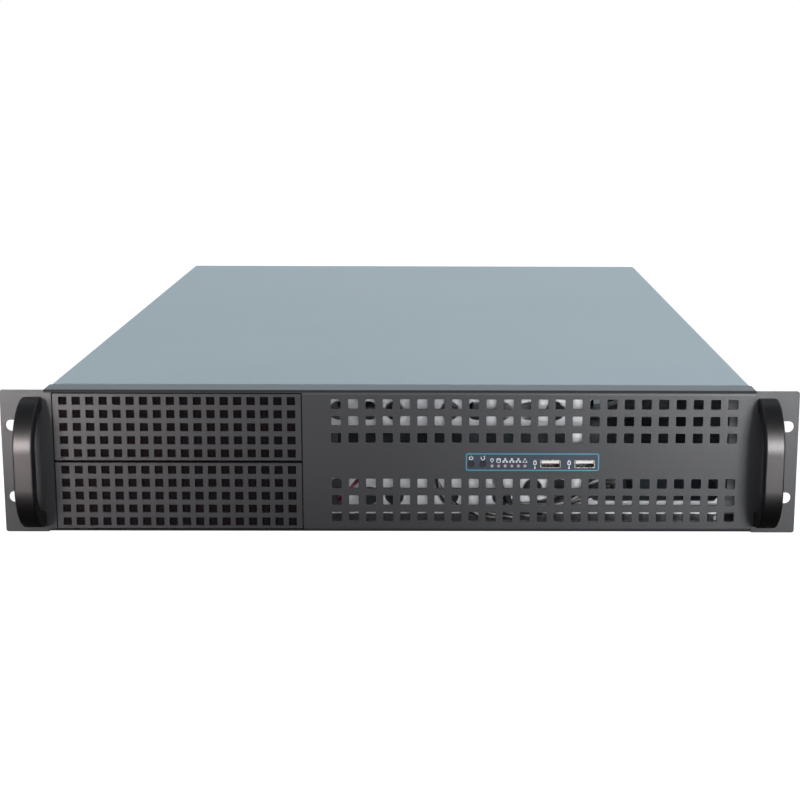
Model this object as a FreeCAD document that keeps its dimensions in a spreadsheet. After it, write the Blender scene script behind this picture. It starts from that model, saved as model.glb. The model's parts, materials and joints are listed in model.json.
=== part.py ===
import FreeCAD, Part
import math
import os
import re
import Sketcher

# Empty 2U rackmount server case.
# Frame: +X right as seen from the front, +Y to the rear, +Z up.
# The origin lies on the surface under the case, below the middle of its box.
# Each piece is drawn with y = 0 on the face of the front panel and z = 0 under the case.

Vector = FreeCAD.Vector

SIZES = {
    # Front panel, a 2U face of a 19 inch rack
    "panel_width": 482.6,
    "panel_height": 88.1,
    "panel_sheet": 1.5,
    "flange_depth": 21.0,
    "flange_lip": 6.3,
    "ear_corner": 1.5,
    "rack_spacing_x": 465.1,
    "rack_spacing_z": 44.45,
    "rack_slot_length": 12.0,
    "rack_slot_width": 7.0,
    # Case body
    "cover_width": 430.0,
    "case_depth": 650.0,
    "sheet": 1.2,
    "bend_radius": 1.0,
    "overlap": 1.0,
    "slide_gap": 0.2,
    "fit_gap": 0.3,
    "tray_flange": 9.0,
    "cover_lip": 10.0,
    "cover_rear_lip": 13.0,
    "cover_front_gap": 0.4,
    "wall_flange": 12.0,
    "rear_flange": 7.0,
    "cover_rear_gap": 0.6,
    "cover_rear_fold": 20.0,
    "lip_screw_z": 4.2,
    "lip_screw_bay": 8.0,
    "lip_screw_inset": 19.2,
    "lip_notch": 9.0,
    "rail_hole_front": 80.0,
    "rail_hole_spacing": 480.0,
    "rail_hole_radius": 2.1,
    "side_vent_start": 375.0,
    "side_vent_length": 25.0,
    "side_vent_height": 4.0,
    "side_vent_low": 20.0,
    "side_vent_columns": 4,
    "side_vent_rows": 5,
    "side_vent_pitch_y": 50.0,
    "side_vent_pitch_z": 11.0,
    # Two drive bays behind perforated covers
    "bay_centre": -134.85,
    "bay_width": 150.9,
    "bay_gap": 0.6,
    "bay_middle_gap": 1.5,
    "bay_cover_flange": 44.0,
    "bay_flange_inset": 4.0,
    "bay_hole": 5.0,
    "bay_hole_pitch": 8.09,
    "bay_hole_columns": 18,
    "bay_hole_rows": 5,
    "bay_cage_depth": 180.0,
    "bay_cage_height": 82.0,
    "cage_hole_y": 25.0,
    "cage_hole_z": 16.0,
    "cage_hole_radius": 1.7,
    "cage_hole_columns": 3,
    "cage_hole_rows": 2,
    "cage_hole_pitch_y": 45.0,
    "cage_hole_pitch_z": 24.0,
    "cage_floor_side": 22.0,
    "cage_floor_end": 20.0,
    "cage_floor_corner": 4.0,
    # Grille in the right part of the panel
    "grille_left": -39.0,
    "grille_low": 9.7,
    "grille_pitch": 10.44,
    "grille_hole": 6.0,
    "grille_corner": 0.7,
    "grille_columns": 24,
    "grille_rows": 3,
    "grille_group_rise": 49.3,
    # Controls
    "power_x": 42.8,
    "reset_x": 50.0,
    "button_z": 42.9,
    "button_radius": 1.75,
    "button_proud": 0.5,
    "button_travel": 1.0,
    "button_rim": 0.8,
    "button_rim_thick": 1.0,
    "stem_radius": 1.0,
    "stem_reach": 1.0,
    "switch_size": 6.0,
    "switch_depth": 3.5,
    "switch_corner": 0.5,
    "led_first_x": 55.6,
    "led_pitch": 4.0,
    "led_z": 41.7,
    "led_radius": 0.9,
    "led_proud": 0.1,
    "led_base": 2.0,
    "led_rim": 0.5,
    "usb_first_x": 91.2,
    "usb_second_x": 112.0,
    "usb_z": 42.9,
    "usb_width": 12.4,
    "usb_height": 5.0,
    "usb_shell": 0.4,
    "usb_corner": 0.6,
    "usb_base": 3.0,
    "usb_tongue_inset": 1.0,
    "usb_tongue_side": 0.5,
    "board_front": 12.0,
    "board_thick": 1.6,
    "board_left": 10.0,
    "board_right": 129.0,
    "board_low": 36.5,
    "board_high": 51.0,
    "board_corner": 1.0,
    "spacer_radius": 2.5,
    "spacer_left": 28.0,
    "spacer_right": 124.5,
    "header_size": 6.0,
    "header_inset": 0.5,
    "red_header_drop": 4.0,
    "switch_header_x": 20.5,
    "usb_header_x": 60.5,
    # Handles
    "handle_centre": 222.0,
    "handle_width": 11.6,
    "handle_low": 4.2,
    "handle_high": 83.9,
    "handle_reach": 30.0,
    "handle_thick": 9.0,
    "handle_round": 28.5,
    "handle_edge": 1.2,
    "handle_bore": 8.0,
    # Inner front wall
    "vent_radius": 5.9,
    "vent_first_x": -38.8,
    "vent_second_x": -20.0,
    "vent_third_x": -4.3,
    "vent_fourth_x": 29.8,
    "vent_pitch": 16.3,
    "vent_high_z": 71.6,
    "vent_low_z": 17.5,
    "raised_vent_z": 22.5,
    "raised_vent_shift": 3.0,
    "lead_slot_left": -45.0,
    "lead_slot_right": -35.0,
    "lead_slot_low": 11.5,
    "lead_slot_high": 28.5,
    "lead_slot_corner": 4.5,
    "window_left": -46.0,
    "window_right": 106.0,
    "window_low": 30.0,
    "window_high": 61.0,
    "window_corner": 3.0,
    "port_left": 112.0,
    "port_right": 203.0,
    "port_low": 14.5,
    "port_high": 81.0,
    "port_chamfer": 8.0,
    # Hard drive cage
    "disk_cage_left": -50.0,
    "disk_cage_right": 104.0,
    "disk_cage_depth": 150.0,
    "disk_cage_height": 58.0,
    # Fans
    "fan_wall_y": 350.0,
    "fan_size": 80.0,
    "fan_depth": 25.0,
    "fan_corner": 5.0,
    "fan_strut": 4.0,
    "fan_bore": 38.0,
    "fan_hole_spacing": 71.5,
    "fan_pitch": 100.0,
    "fan_first_x": -150.0,
    "fan_z": 43.4,
    "hub_radius": 15.5,
    "hub_length": 19.0,
    "shaft_radius": 1.5,
    "blade_tip": 36.5,
    "blade_count": 7,
    "blade_depth": 14.0,
    "blade_sweep": 16.0,
    "blade_thick": 1.6,
    "motor_plate": 2.5,
    "running_gap": 0.1,
    # Rear panel
    "io_left": -52.0,
    "io_width": 158.75,
    "io_low": 8.0,
    "io_height": 44.45,
    "supply_left": 114.0,
    "supply_width": 92.0,
    "supply_low": 8.0,
    "supply_height": 66.0,
    "supply_corner": 2.0,
    "rear_vent_length": 12.0,
    "rear_vent_height": 3.0,
    "rear_vent_corner": 1.4,
    "rear_vent_inset": 2.0,
    "rear_vent_rise": 6.0,
    "rear_vent_columns": 10,
    "rear_vent_rows": 4,
    "rear_vent_pitch_x": 16.0,
    "rear_vent_pitch_z": 6.0,
    "slot_first_x": -193.0,
    "slot_pitch": 20.32,
    "slot_count": 7,
    "slot_width": 13.5,
    "slot_low": 10.0,
    "slot_height": 60.0,
    "bracket_width": 18.4,
    "bracket_sheet": 0.9,
    "bracket_tab": 11.4,
    "bracket_bend": 0.5,
    "bracket_tongue": 4.0,
    "bracket_screw_inset": 4.0,
    "rail_top": 75.0,
    "rail_depth": 14.0,
    "rail_lip": 8.0,
    "rail_end": 2.0,
    # Guide for the power supply
    "guide_gap": 6.0,
    "guide_height": 60.0,
    "guide_foot": 14.0,
    "guide_reach": 170.0,
    "guide_window_front": 150.0,
    "guide_window_back": 40.0,
    "guide_window_low": 18.0,
    "guide_window_high": 46.0,
    "guide_window_corner": 4.0,
    # Main board standoffs
    "standoff_left": -193.0,
    "standoff_middle": 124.46,
    "standoff_wide": 281.94,
    "standoff_inset": 12.0,
    "standoff_mid_row": 154.94,
    "standoff_deep": 227.33,
    "standoff_height": 6.35,
    "standoff_radius": 2.9,
    # Screws
    "screw_radius": 1.5,
    "screw_head_radius": 2.9,
    "screw_head": 1.8,
    "handle_screw_bite": 7.0,
    "panel_screw_bite": 1.0,
    "fan_screw_bite": 8.0,
    "slot_screw_bite": 3.0,
    "board_screw_bite": 4.0,
    "thumb_screw_bite": 6.0,
    "thumb_radius": 5.5,
    "thumb_head": 8.0,
    "thumb_x": 190.0,
    "thumb_drop": 7.0,
    # Leads
    "lead_radius": 2.0,
    "usb_lead_radius": 2.2,
    "red_lead_radius": 1.3,
    "plug_size": 6.0,
    "plug_length": 12.0,
    "plug_corner": 0.5,
    "switch_plug_x": 28.0,
    "usb_plug_x": 42.0,
    "port_plug_y": 80.0,
    "red_plug_x": 0.7,
    "red_plug_y": 46.0,
}

doc = FreeCAD.newDocument("rack_case")
sizes = doc.addObject("Spreadsheet::Sheet", "Sizes")
for row, (alias, size) in enumerate(SIZES.items(), 1):
    sizes.set("A%d" % row, alias)
    sizes.set("B%d" % row, str(size))
    sizes.setAlias("B%d" % row, alias)
doc.recompute()

# Places that several pieces share, as sums of the sizes
REAR_REACH = "(cover_rear_gap + sheet + thumb_head)"
FRONT = "((handle_reach - case_depth - %s) / 2)" % REAR_REACH
TRAY_HALF = "(cover_width / 2 - sheet - slide_gap)"
TRAY_INNER = "(cover_width / 2 - 2 * sheet - slide_gap)"
TRAY_TOP = "(panel_height - sheet - slide_gap)"
WALL_TOP = "(panel_height - 2 * sheet - slide_gap)"
WALL_HALF = "(%s - bend_radius)" % TRAY_INNER
WALL_BACK = "(flange_depth + sheet)"
CAGE_FRONT = "(flange_depth + wall_flange + fit_gap)"
REAR_INNER = "(case_depth - sheet)"
BAY_LEFT = "(bay_centre - bay_width / 2)"
BAY_RIGHT = "(bay_centre + bay_width / 2)"
BAY_COVER_HALF = "(bay_width / 2 - bay_gap)"
BAY_COVER_HEIGHT = "((panel_height - 2 * panel_sheet - 2 * bay_gap - bay_middle_gap) / 2)"
BAY_GUIDE_HALF = "(bay_width / 2 - bay_gap + fit_gap)"
BOARD_BACK = "(board_front + board_thick)"
THUMB_Z = "(panel_height - thumb_drop)"
RAIL_BACK = "(case_depth - sheet - bracket_sheet - 2 * fit_gap)"
SWITCH_FRONT = "(board_front - switch_depth)"
HANDLE_FOOT = ["(handle_low + handle_thick / 2)", "(handle_high - handle_thick / 2)"]
LIP_SCREW_X = ["(%s + lip_screw_bay)" % BAY_RIGHT, "(cover_width / 2 - lip_screw_inset)"]
LIP_SCREW_Z = ["lip_screw_z", "(panel_height - lip_screw_z)"]
SLOT_SCREW_Y = "(case_depth - sheet - bracket_tab + bracket_screw_inset)"
BOARD_FIX_X = ["spacer_left", "spacer_right"]
BOARD_FIX_Z = "((board_low + board_high) / 2)"
PLUG_Z = "(sheet + plug_size / 2 + slide_gap)"
SWITCH_PLUG = ("(port_left + switch_plug_x)", "(%s + port_plug_y)" % WALL_BACK, PLUG_Z)
USB_PLUG = ("(port_left + usb_plug_x)", "(%s + port_plug_y)" % WALL_BACK, PLUG_Z)
RED_PLUG = ("(lead_slot_right + red_plug_x)", "(%s + red_plug_y)" % WALL_BACK,
            "(%s + sheet)" % PLUG_Z)
LED_COUNT = 6
FAN_COUNT = 4


def formula(text):
    """Write a sum of size names as an expression on the sheet."""
    return re.sub(r"[a-z][a-z_]*", lambda word: "Sizes." + word.group()
                  if word.group() in SIZES else word.group(), str(text))


def value(text):
    """Give the number that a sum of size names comes to."""
    return float(doc.Sizes.evalExpression(formula(text)))


def place(piece, x="0", y="0", z="0"):
    """Set a piece's Placement, with y measured from the face of the panel."""
    piece.setExpression("Placement.Base.x", formula(x))
    piece.setExpression("Placement.Base.y", formula("%s + (%s)" % (FRONT, y)))
    piece.setExpression("Placement.Base.z", formula(z))
    pieces.append(piece)


pieces = []


def new_body(label, x="0", y="0", z="0"):
    """Start a piece that is made by features."""
    body = doc.addObject("PartDesign::Body", label)
    body.Label = label
    place(body, x, y, z)
    return body


def bind(feature, name, text):
    """Tie one property of a feature to a sum of sizes."""
    feature.setExpression(name, formula(text))


def plane_sketch(body, plane, at):
    """Add a sketch on one of the body's planes, moved to a place along its axis."""
    sketch = body.newObject("Sketcher::SketchObject", body.Label + "_sketch")
    support = next(o for o in body.Origin.OriginFeatures if o.Role == plane + "_Plane")
    sketch.AttachmentSupport = (support, [""])
    sketch.MapMode = "FlatFace"
    sign = "-" if plane == "XZ" else ""
    bind(sketch, "AttachmentOffset.Base.z", "%s(%s)" % (sign, at))
    return sketch


def locate(sketch, geometry, point, x, y):
    """Fix one point of the sketch by its two distances from the origin."""
    for kind, text in (("DistanceX", x), ("DistanceY", y)):
        number = sketch.addConstraint(
            Sketcher.Constraint(kind, -1, 1, geometry, point, value(text)))
        sketch.setExpression("Constraints[%d]" % number, formula(text))


def size_radius(sketch, geometry, radius):
    """Fix the radius of an arc or circle."""
    number = sketch.addConstraint(
        Sketcher.Constraint("Radius", geometry, value(radius)))
    sketch.setExpression("Constraints[%d]" % number, formula(radius))


def circle(sketch, x, y, radius):
    """Draw a circle."""
    shape = Part.Circle(Vector(value(x), value(y), 0), Vector(0, 0, 1), value(radius))
    geometry = sketch.addGeometry(shape, False)
    locate(sketch, geometry, 3, x, y)
    size_radius(sketch, geometry, radius)


def outline(sketch, corners, rounds=None, chamfer=None):
    """Draw a closed outline of level and upright lines, with rounds or chamfers."""
    rounds = rounds or {}
    count = len(corners)
    spots = [Vector(value(x), value(y), 0) for x, y in corners]
    steps = []
    for i in range(count):
        step = spots[(i + 1) % count] - spots[i]
        steps.append((step.x / step.Length, step.y / step.Length))

    def moved(i, step, reach):
        x, y = corners[i]
        return ("%s + %r * (%s)" % (x, round(step[0], 9), reach),
                "%s + %r * (%s)" % (y, round(step[1], 9), reach))

    starts = []
    ends = []
    for i in range(count):
        reach = chamfer or rounds.get(i)
        before = steps[i - 1]
        if reach:
            ends.append(moved(i, (-before[0], -before[1]), reach))
            starts.append(moved(i, steps[i], reach))
        else:
            ends.append(corners[i])
            starts.append(corners[i])
    lines = []
    for i in range(count):
        a = starts[i]
        b = ends[(i + 1) % count]
        line = Part.LineSegment(Vector(value(a[0]), value(a[1]), 0),
                                Vector(value(b[0]), value(b[1]), 0))
        lines.append(sketch.addGeometry(line, False))
    for i in range(count):
        following = (i + 1) % count
        locate(sketch, lines[i], 1, *starts[i])
        reach = chamfer or rounds.get(following)
        if not reach:
            sketch.addConstraint(
                Sketcher.Constraint("Coincident", lines[i], 2, lines[following], 1))
            continue
        locate(sketch, lines[i], 2, *ends[following])
        a = Vector(value(ends[following][0]), value(ends[following][1]), 0)
        b = Vector(value(starts[following][0]), value(starts[following][1]), 0)
        if chamfer:
            corner = sketch.addGeometry(Part.LineSegment(a, b), False)
            first, last = 1, 2
        else:
            turn = steps[i][0] * steps[following][1] - steps[i][1] * steps[following][0]
            centre = a + b - spots[following]
            first, last = (1, 2) if turn > 0 else (2, 1)
            begin, finish = (a, b) if turn > 0 else (b, a)
            angles = [math.atan2(p.y - centre.y, p.x - centre.x) for p in (begin, finish)]
            whole = Part.Circle(centre, Vector(0, 0, 1), value(reach))
            corner = sketch.addGeometry(Part.ArcOfCircle(whole, *angles), False)
        sketch.addConstraint(Sketcher.Constraint("Coincident", lines[i], 2, corner, first))
        sketch.addConstraint(
            Sketcher.Constraint("Coincident", corner, last, lines[following], 1))
        if not chamfer:
            size_radius(sketch, corner, reach)


def rectangle(sketch, left, right, low, high, corner=None, chamfer=None):
    """Draw a rectangle, with equal rounds or chamfers."""
    corners = [(left, low), (right, low), (right, high), (left, high)]
    rounds = {i: corner for i in range(4)} if corner else None
    outline(sketch, corners, rounds, chamfer)


def slot(sketch, x, y, length, width):
    """Draw a level slot with round ends."""
    reach = "((%s - %s) / 2)" % (length, width)
    low = "%s - %s / 2" % (y, width)
    high = "%s + %s / 2" % (y, width)
    left = "%s - %s" % (x, reach)
    right = "%s + %s" % (x, reach)
    radius = value(width) / 2
    below = sketch.addGeometry(Part.LineSegment(
        Vector(value(left), value(low), 0), Vector(value(right), value(low), 0)), False)
    above = sketch.addGeometry(Part.LineSegment(
        Vector(value(right), value(high), 0), Vector(value(left), value(high), 0)), False)
    locate(sketch, below, 1, left, low)
    locate(sketch, below, 2, right, low)
    locate(sketch, above, 1, right, high)
    locate(sketch, above, 2, left, high)
    for side, angle, first, last in ((right, -math.pi / 2, below, above),
                                     (left, math.pi / 2, above, below)):
        whole = Part.Circle(Vector(value(side), value(y), 0), Vector(0, 0, 1), radius)
        end = sketch.addGeometry(Part.ArcOfCircle(whole, angle, angle + math.pi), False)
        sketch.addConstraint(Sketcher.Constraint("Coincident", first, 2, end, 1))
        sketch.addConstraint(Sketcher.Constraint("Coincident", end, 2, last, 1))
        number = sketch.addConstraint(
            Sketcher.Constraint("DistanceX", -1, 1, end, 3, value(side)))
        sketch.setExpression("Constraints[%d]" % number, formula(side))


def folded(sketch, path, thickness, side, radius="bend_radius"):
    """Draw the section of a folded sheet along its outer or inner side.

    The sheet lies to the left of the path where side is 1, to the right where it is -1.
    """
    spots = [Vector(value(x), value(y), 0) for x, y in path]
    steps = []
    for a, b in zip(spots, spots[1:]):
        step = (b - a) / (b - a).Length
        steps.append((round(step.x), round(step.y)))
    normals = [(-y * side, x * side) for x, y in steps]
    last = len(path) - 1
    other = []
    rounds = {}
    for i, (x, y) in enumerate(path):
        near = [normals[k] for k in (i - 1, i) if 0 <= k < last]
        shift = [sum(normal[axis] for normal in near) for axis in (0, 1)]
        other.append(("%s + %d * %s" % (x, shift[0], thickness),
                      "%s + %d * %s" % (y, shift[1], thickness)))
        if 0 < i < last:
            turn = steps[i - 1][0] * steps[i][1] - steps[i - 1][1] * steps[i][0]
            outer = "(%s + %s)" % (radius, thickness)
            rounds[i] = outer if turn * side > 0 else radius
            rounds[2 * last + 1 - i] = radius if turn * side > 0 else outer
    outline(sketch, path + other[::-1], rounds)


def pad(body, plane, at, length, draw, *args, **options):
    """Add material from a place along an axis towards its positive end."""
    sketch = plane_sketch(body, plane, at)
    draw(sketch, *args, **options)
    feature = body.newObject("PartDesign::Pad", body.Label + "_pad")
    feature.Profile = sketch
    feature.Reversed = plane == "XZ"
    bind(feature, "Length", length)
    return feature


def cut(body, plane, at, length, draw, *args, **options):
    """Remove material from a place along an axis towards its positive end."""
    sketch = plane_sketch(body, plane, at)
    draw(sketch, *args, **options)
    feature = body.newObject("PartDesign::Pocket", body.Label + "_cut")
    feature.Profile = sketch
    feature.Refine = False
    feature.Reversed = plane != "XZ"
    bind(feature, "Length", length)
    return feature


def repeat(body, feature, *rows):
    """Repeat a feature along the axes of its sketch: (axis, count, pitch) for each."""
    grid = body.newObject("PartDesign::MultiTransform", body.Label + "_grid")
    grid.Refine = False
    patterns = []
    for axis, count, pitch in rows:
        pattern = doc.addObject("PartDesign::LinearPattern", body.Label + "_row")
        body.addObject(pattern)
        pattern.Direction = (feature.Profile[0], [axis])
        bind(pattern, "Length", "%s * (%s - 1)" % (pitch, count))
        bind(pattern, "Occurrences", count)
        patterns.append(pattern)
    grid.Originals = [feature]
    grid.Transformations = patterns
    body.Tip = grid
    return grid


def several(draw, *shapes):
    """Join several drawings of one kind into one sketch."""
    def draw_all(sketch):
        for shape in shapes:
            draw(sketch, *shape)
    return draw_all


def together(*drawings):
    """Join drawings of different kinds into one sketch."""
    def draw_all(sketch):
        for draw in drawings:
            draw(sketch)
    return draw_all


# Front panel

def front_panel():
    body = new_body("front_panel")
    half = "cover_width / 2"
    channel = [("flange_depth", "panel_height - flange_lip"),
               ("flange_depth", "panel_height"), ("0", "panel_height"), ("0", "0"),
               ("flange_depth", "0"), ("flange_depth", "flange_lip")]
    pad(body, "YZ", "-" + half, "cover_width", folded, channel, "panel_sheet", 1)
    for side in ("-1", "1"):
        inner = "%s * %s" % (side, half)
        outer = "%s * panel_width / 2" % side
        left, right = (outer, inner) if side == "-1" else (inner, outer)
        corners = [(left, "0"), (right, "0"), (right, "panel_height"), (left, "panel_height")]
        free = (0, 3) if side == "-1" else (1, 2)
        pad(body, "XZ", "0", "panel_sheet", outline, corners, {i: "ear_corner" for i in free})
    cut(body, "XZ", "0", "flange_depth", rectangle, BAY_LEFT, BAY_RIGHT,
        "panel_sheet", "panel_height - panel_sheet")
    ear_slots = []
    for side in ("-", ""):
        for level in ("-", "+"):
            height = "(panel_height / 2 %s rack_spacing_z / 2)" % level
            ear_slots.append((side + "rack_spacing_x / 2", height,
                              "rack_slot_length", "rack_slot_width"))
    clearance = "(screw_radius + fit_gap)"
    rounds = [(side + "handle_centre", foot, clearance)
              for side in ("-", "") for foot in HANDLE_FOOT]
    rounds += [(x, "button_z", "(button_radius + fit_gap)") for x in ("power_x", "reset_x")]
    rounds += [("led_first_x + %d * led_pitch" % n, "led_z", "(led_radius + slide_gap)")
               for n in range(LED_COUNT)]
    sockets = [(x + " - usb_width / 2 - fit_gap", x + " + usb_width / 2 + fit_gap",
                "usb_z - usb_height / 2 - fit_gap", "usb_z + usb_height / 2 + fit_gap")
               for x in ("usb_first_x", "usb_second_x")]
    cut(body, "XZ", "0", "panel_sheet", together(
        several(slot, *ear_slots), several(circle, *rounds), several(rectangle, *sockets)))
    lips = [(x, z, clearance) for x in LIP_SCREW_X for z in LIP_SCREW_Z]
    cut(body, "XZ", "flange_depth - panel_sheet", "panel_sheet", several(circle, *lips))
    reach = "grille_hole / 2"
    hole = cut(body, "XZ", "0", "panel_sheet", rectangle,
               "grille_left - " + reach, "grille_left + " + reach,
               "grille_low - " + reach, "grille_low + " + reach, corner="grille_corner")
    repeat(body, hole, ("H_Axis", "grille_columns", "grille_pitch"),
           ("V_Axis", "grille_rows", "grille_pitch"), ("V_Axis", "2", "grille_group_rise"))


# Handles, each an arched bar with two feet on the ear

def handle(label, side):
    body = new_body(label, x="%s * handle_centre" % side)
    outer = [("0", "handle_low"), ("0", "handle_high"),
             ("-handle_reach", "handle_high"), ("-handle_reach", "handle_low")]
    inner = [("0", "handle_low + handle_thick"),
             ("0", "handle_high - handle_thick"),
             ("handle_thick - handle_reach", "handle_high - handle_thick"),
             ("handle_thick - handle_reach", "handle_low + handle_thick")]
    pad(body, "YZ", "-handle_width / 2", "handle_width", outline, outer,
        {2: "handle_round", 3: "handle_round"})
    cut(body, "YZ", "-handle_width / 2", "handle_width", outline, inner,
        {2: "handle_round - handle_thick", 3: "handle_round - handle_thick"})
    bores = [("0", foot, "screw_radius + fit_gap / 2") for foot in HANDLE_FOOT]
    bored = cut(body, "XZ", "-handle_bore", "handle_bore", several(circle, *bores))
    doc.recompute()
    arched = [name for name, edge in named_edges(bored)
              if abs(abs(edge.CenterOfMass.x) - value("handle_width / 2")) < 0.01
              and edge.BoundBox.YMin < -1.0]
    fillet = body.newObject("PartDesign::Fillet", label + "_edges")
    fillet.Base = (bored, arched)
    bind(fillet, "Radius", "handle_edge")


def named_edges(feature):
    """List a feature's edges with their names."""
    return [("Edge%d" % number, edge) for number, edge in enumerate(feature.Shape.Edges, 1)]


# Perforated bay covers, folded back at both sides

def bay_cover(label, low):
    body = new_body(label, x="bay_centre", z=low)
    half = BAY_COVER_HALF
    sides = [("-" + half, "bay_cover_flange"), ("-" + half, "0"),
             (half, "0"), (half, "bay_cover_flange")]
    pad(body, "XY", "bay_flange_inset", "%s - 2 * bay_flange_inset" % BAY_COVER_HEIGHT,
        folded, sides, "sheet", 1)
    pad(body, "XZ", "0", "sheet", rectangle, "-" + half, half, "0", BAY_COVER_HEIGHT)
    first_x = "(-bay_hole_pitch * (bay_hole_columns - 1) / 2)"
    first_z = "(%s / 2 - bay_hole_pitch * (bay_hole_rows - 1) / 2)" % BAY_COVER_HEIGHT
    hole = cut(body, "XZ", "0", "sheet", rectangle,
               first_x + " - bay_hole / 2", first_x + " + bay_hole / 2",
               first_z + " - bay_hole / 2", first_z + " + bay_hole / 2")
    repeat(body, hole, ("H_Axis", "bay_hole_columns", "bay_hole_pitch"),
           ("V_Axis", "bay_hole_rows", "bay_hole_pitch"))


# Tray: floor and sides in one folded sheet, with turned-in top edges

def chassis_tray():
    body = new_body("chassis_tray")
    section = [("tray_flange - " + TRAY_HALF, TRAY_TOP), ("-" + TRAY_HALF, TRAY_TOP),
               ("-" + TRAY_HALF, "0"), (TRAY_HALF, "0"), (TRAY_HALF, TRAY_TOP),
               (TRAY_HALF + " - tray_flange", TRAY_TOP)]
    pad(body, "XZ", "flange_depth", "case_depth - flange_depth", folded, section, "sheet", 1)
    low = "flange_lip + fit_gap"
    high = "panel_height - flange_lip - fit_gap"
    for left, right in (("-" + TRAY_HALF, "-" + TRAY_INNER), (TRAY_INNER, TRAY_HALF)):
        pad(body, "XZ", "panel_sheet", "flange_depth - panel_sheet + overlap",
            rectangle, left, right, low, high)
    rail_holes = [("rail_hole_front" + more, "panel_height / 2", "rail_hole_radius")
                  for more in ("", " + rail_hole_spacing")]
    for at in ("-" + TRAY_HALF, TRAY_INNER):
        cut(body, "YZ", at, "sheet", several(circle, *rail_holes))
        vent = cut(body, "YZ", at, "sheet", rectangle,
                   "side_vent_start", "side_vent_start + side_vent_length",
                   "side_vent_low", "side_vent_low + side_vent_height",
                   corner="side_vent_height * 0.4")
        repeat(body, vent, ("H_Axis", "side_vent_columns", "side_vent_pitch_y"),
               ("V_Axis", "side_vent_rows", "side_vent_pitch_z"))


# Top cover with side lips and a rear lip

def top_cover():
    body = new_body("top_cover")
    half = "cover_width / 2"
    section = [("-" + half, "panel_height - cover_lip"), ("-" + half, "panel_height"),
               (half, "panel_height"), (half, "panel_height - cover_lip")]
    front = "flange_depth + cover_front_gap"
    pad(body, "XZ", front, "case_depth - (%s)" % front, folded, section, "sheet", -1)
    back = "(case_depth + cover_rear_gap + sheet)"
    edge = [(back + " - cover_rear_fold", "panel_height"), (back, "panel_height"),
            (back, "panel_height - cover_rear_lip")]
    pad(body, "YZ", "tray_flange - " + half, "cover_width - 2 * tray_flange",
        folded, edge, "sheet", -1)
    holes = [(side + "thumb_x", THUMB_Z, "(screw_radius + fit_gap)") for side in ("-", "")]
    cut(body, "XZ", "case_depth + cover_rear_gap", "sheet", several(circle, *holes))


# Inner front wall with round vents, a window and a large port

def inner_front_wall():
    body = new_body("inner_front_wall")
    back = "(flange_depth + wall_flange)"
    section = [(back, "sheet"), ("flange_depth", "sheet"),
               ("flange_depth", WALL_TOP), (back, WALL_TOP)]
    pad(body, "YZ", "-" + WALL_HALF, "2 * " + WALL_HALF, folded, section, "sheet", -1)
    cut(body, "XZ", "flange_depth", "wall_flange", rectangle,
        "bay_centre - " + BAY_GUIDE_HALF, "bay_centre + " + BAY_GUIDE_HALF,
        "2 * sheet + fit_gap", WALL_TOP + " - sheet - fit_gap")
    cut(body, "XZ", "flange_depth", "sheet", rectangle, "window_left", "window_right",
        "window_low", "window_high", corner="window_corner")
    cut(body, "XZ", "flange_depth", "sheet", rectangle, "port_left", "port_right",
        "port_low", "port_high", chamfer="port_chamfer")
    right_group = ["(vent_fourth_x + %d * vent_pitch)" % n for n in range(5)]
    vents = [(x, "vent_high_z") for x in ("vent_first_x", "vent_second_x", "vent_third_x")]
    vents += [(x, "vent_high_z") for x in right_group]
    vents += [(x, "vent_low_z") for x in ("vent_second_x", "vent_third_x", *right_group[0:3:2])]
    vents += [(x + " + raised_vent_shift", "raised_vent_z") for x in right_group[3:]]
    rounds = [(x, z, "vent_radius") for x, z in vents]
    rounds += [(x, z, "(screw_radius + slide_gap)") for x in LIP_SCREW_X for z in LIP_SCREW_Z]
    cut(body, "XZ", "flange_depth", "sheet", several(circle, *rounds))
    cut(body, "XZ", "flange_depth", "sheet", rectangle, "lead_slot_left", "lead_slot_right",
        "lead_slot_low", "lead_slot_high", corner="lead_slot_corner")
    notches = [(x + " - lip_notch / 2", x + " + lip_notch / 2", low, high)
               for x in LIP_SCREW_X for low, high in (
                   ("sheet / 2", "2 * sheet + bend_radius"),
                   (WALL_TOP + " - sheet - bend_radius", WALL_TOP + " + sheet / 2"))]
    cut(body, "XZ", WALL_BACK, "wall_flange", several(rectangle, *notches))


# Open cages for the bays and for hard drives

def cage(label, left, right, depth, height):
    body = new_body(label, y=CAGE_FRONT)
    section = [(left, height), (left, "sheet"), (right, "sheet"), (right, height)]
    pad(body, "XZ", "0", depth, folded, section, "sheet", 1)
    for at in (left, right + " - sheet"):
        hole = cut(body, "YZ", at, "sheet", circle,
                   "cage_hole_y", "cage_hole_z", "cage_hole_radius")
        repeat(body, hole, ("H_Axis", "cage_hole_columns", "cage_hole_pitch_y"),
               ("V_Axis", "cage_hole_rows", "cage_hole_pitch_z"))
    cut(body, "XY", "sheet", "sheet", rectangle, left + " + cage_floor_side",
        right + " - cage_floor_side", "cage_floor_end", depth + " - cage_floor_end",
        corner="cage_floor_corner")


def cages():
    cage("bay_cage", "(bay_centre - %s - sheet)" % BAY_GUIDE_HALF,
         "(bay_centre + %s + sheet)" % BAY_GUIDE_HALF, "bay_cage_depth", "bay_cage_height")
    cage("hard_drive_cage", "disk_cage_left", "disk_cage_right",
         "disk_cage_depth", "disk_cage_height")


# Fan wall and four fans

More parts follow.
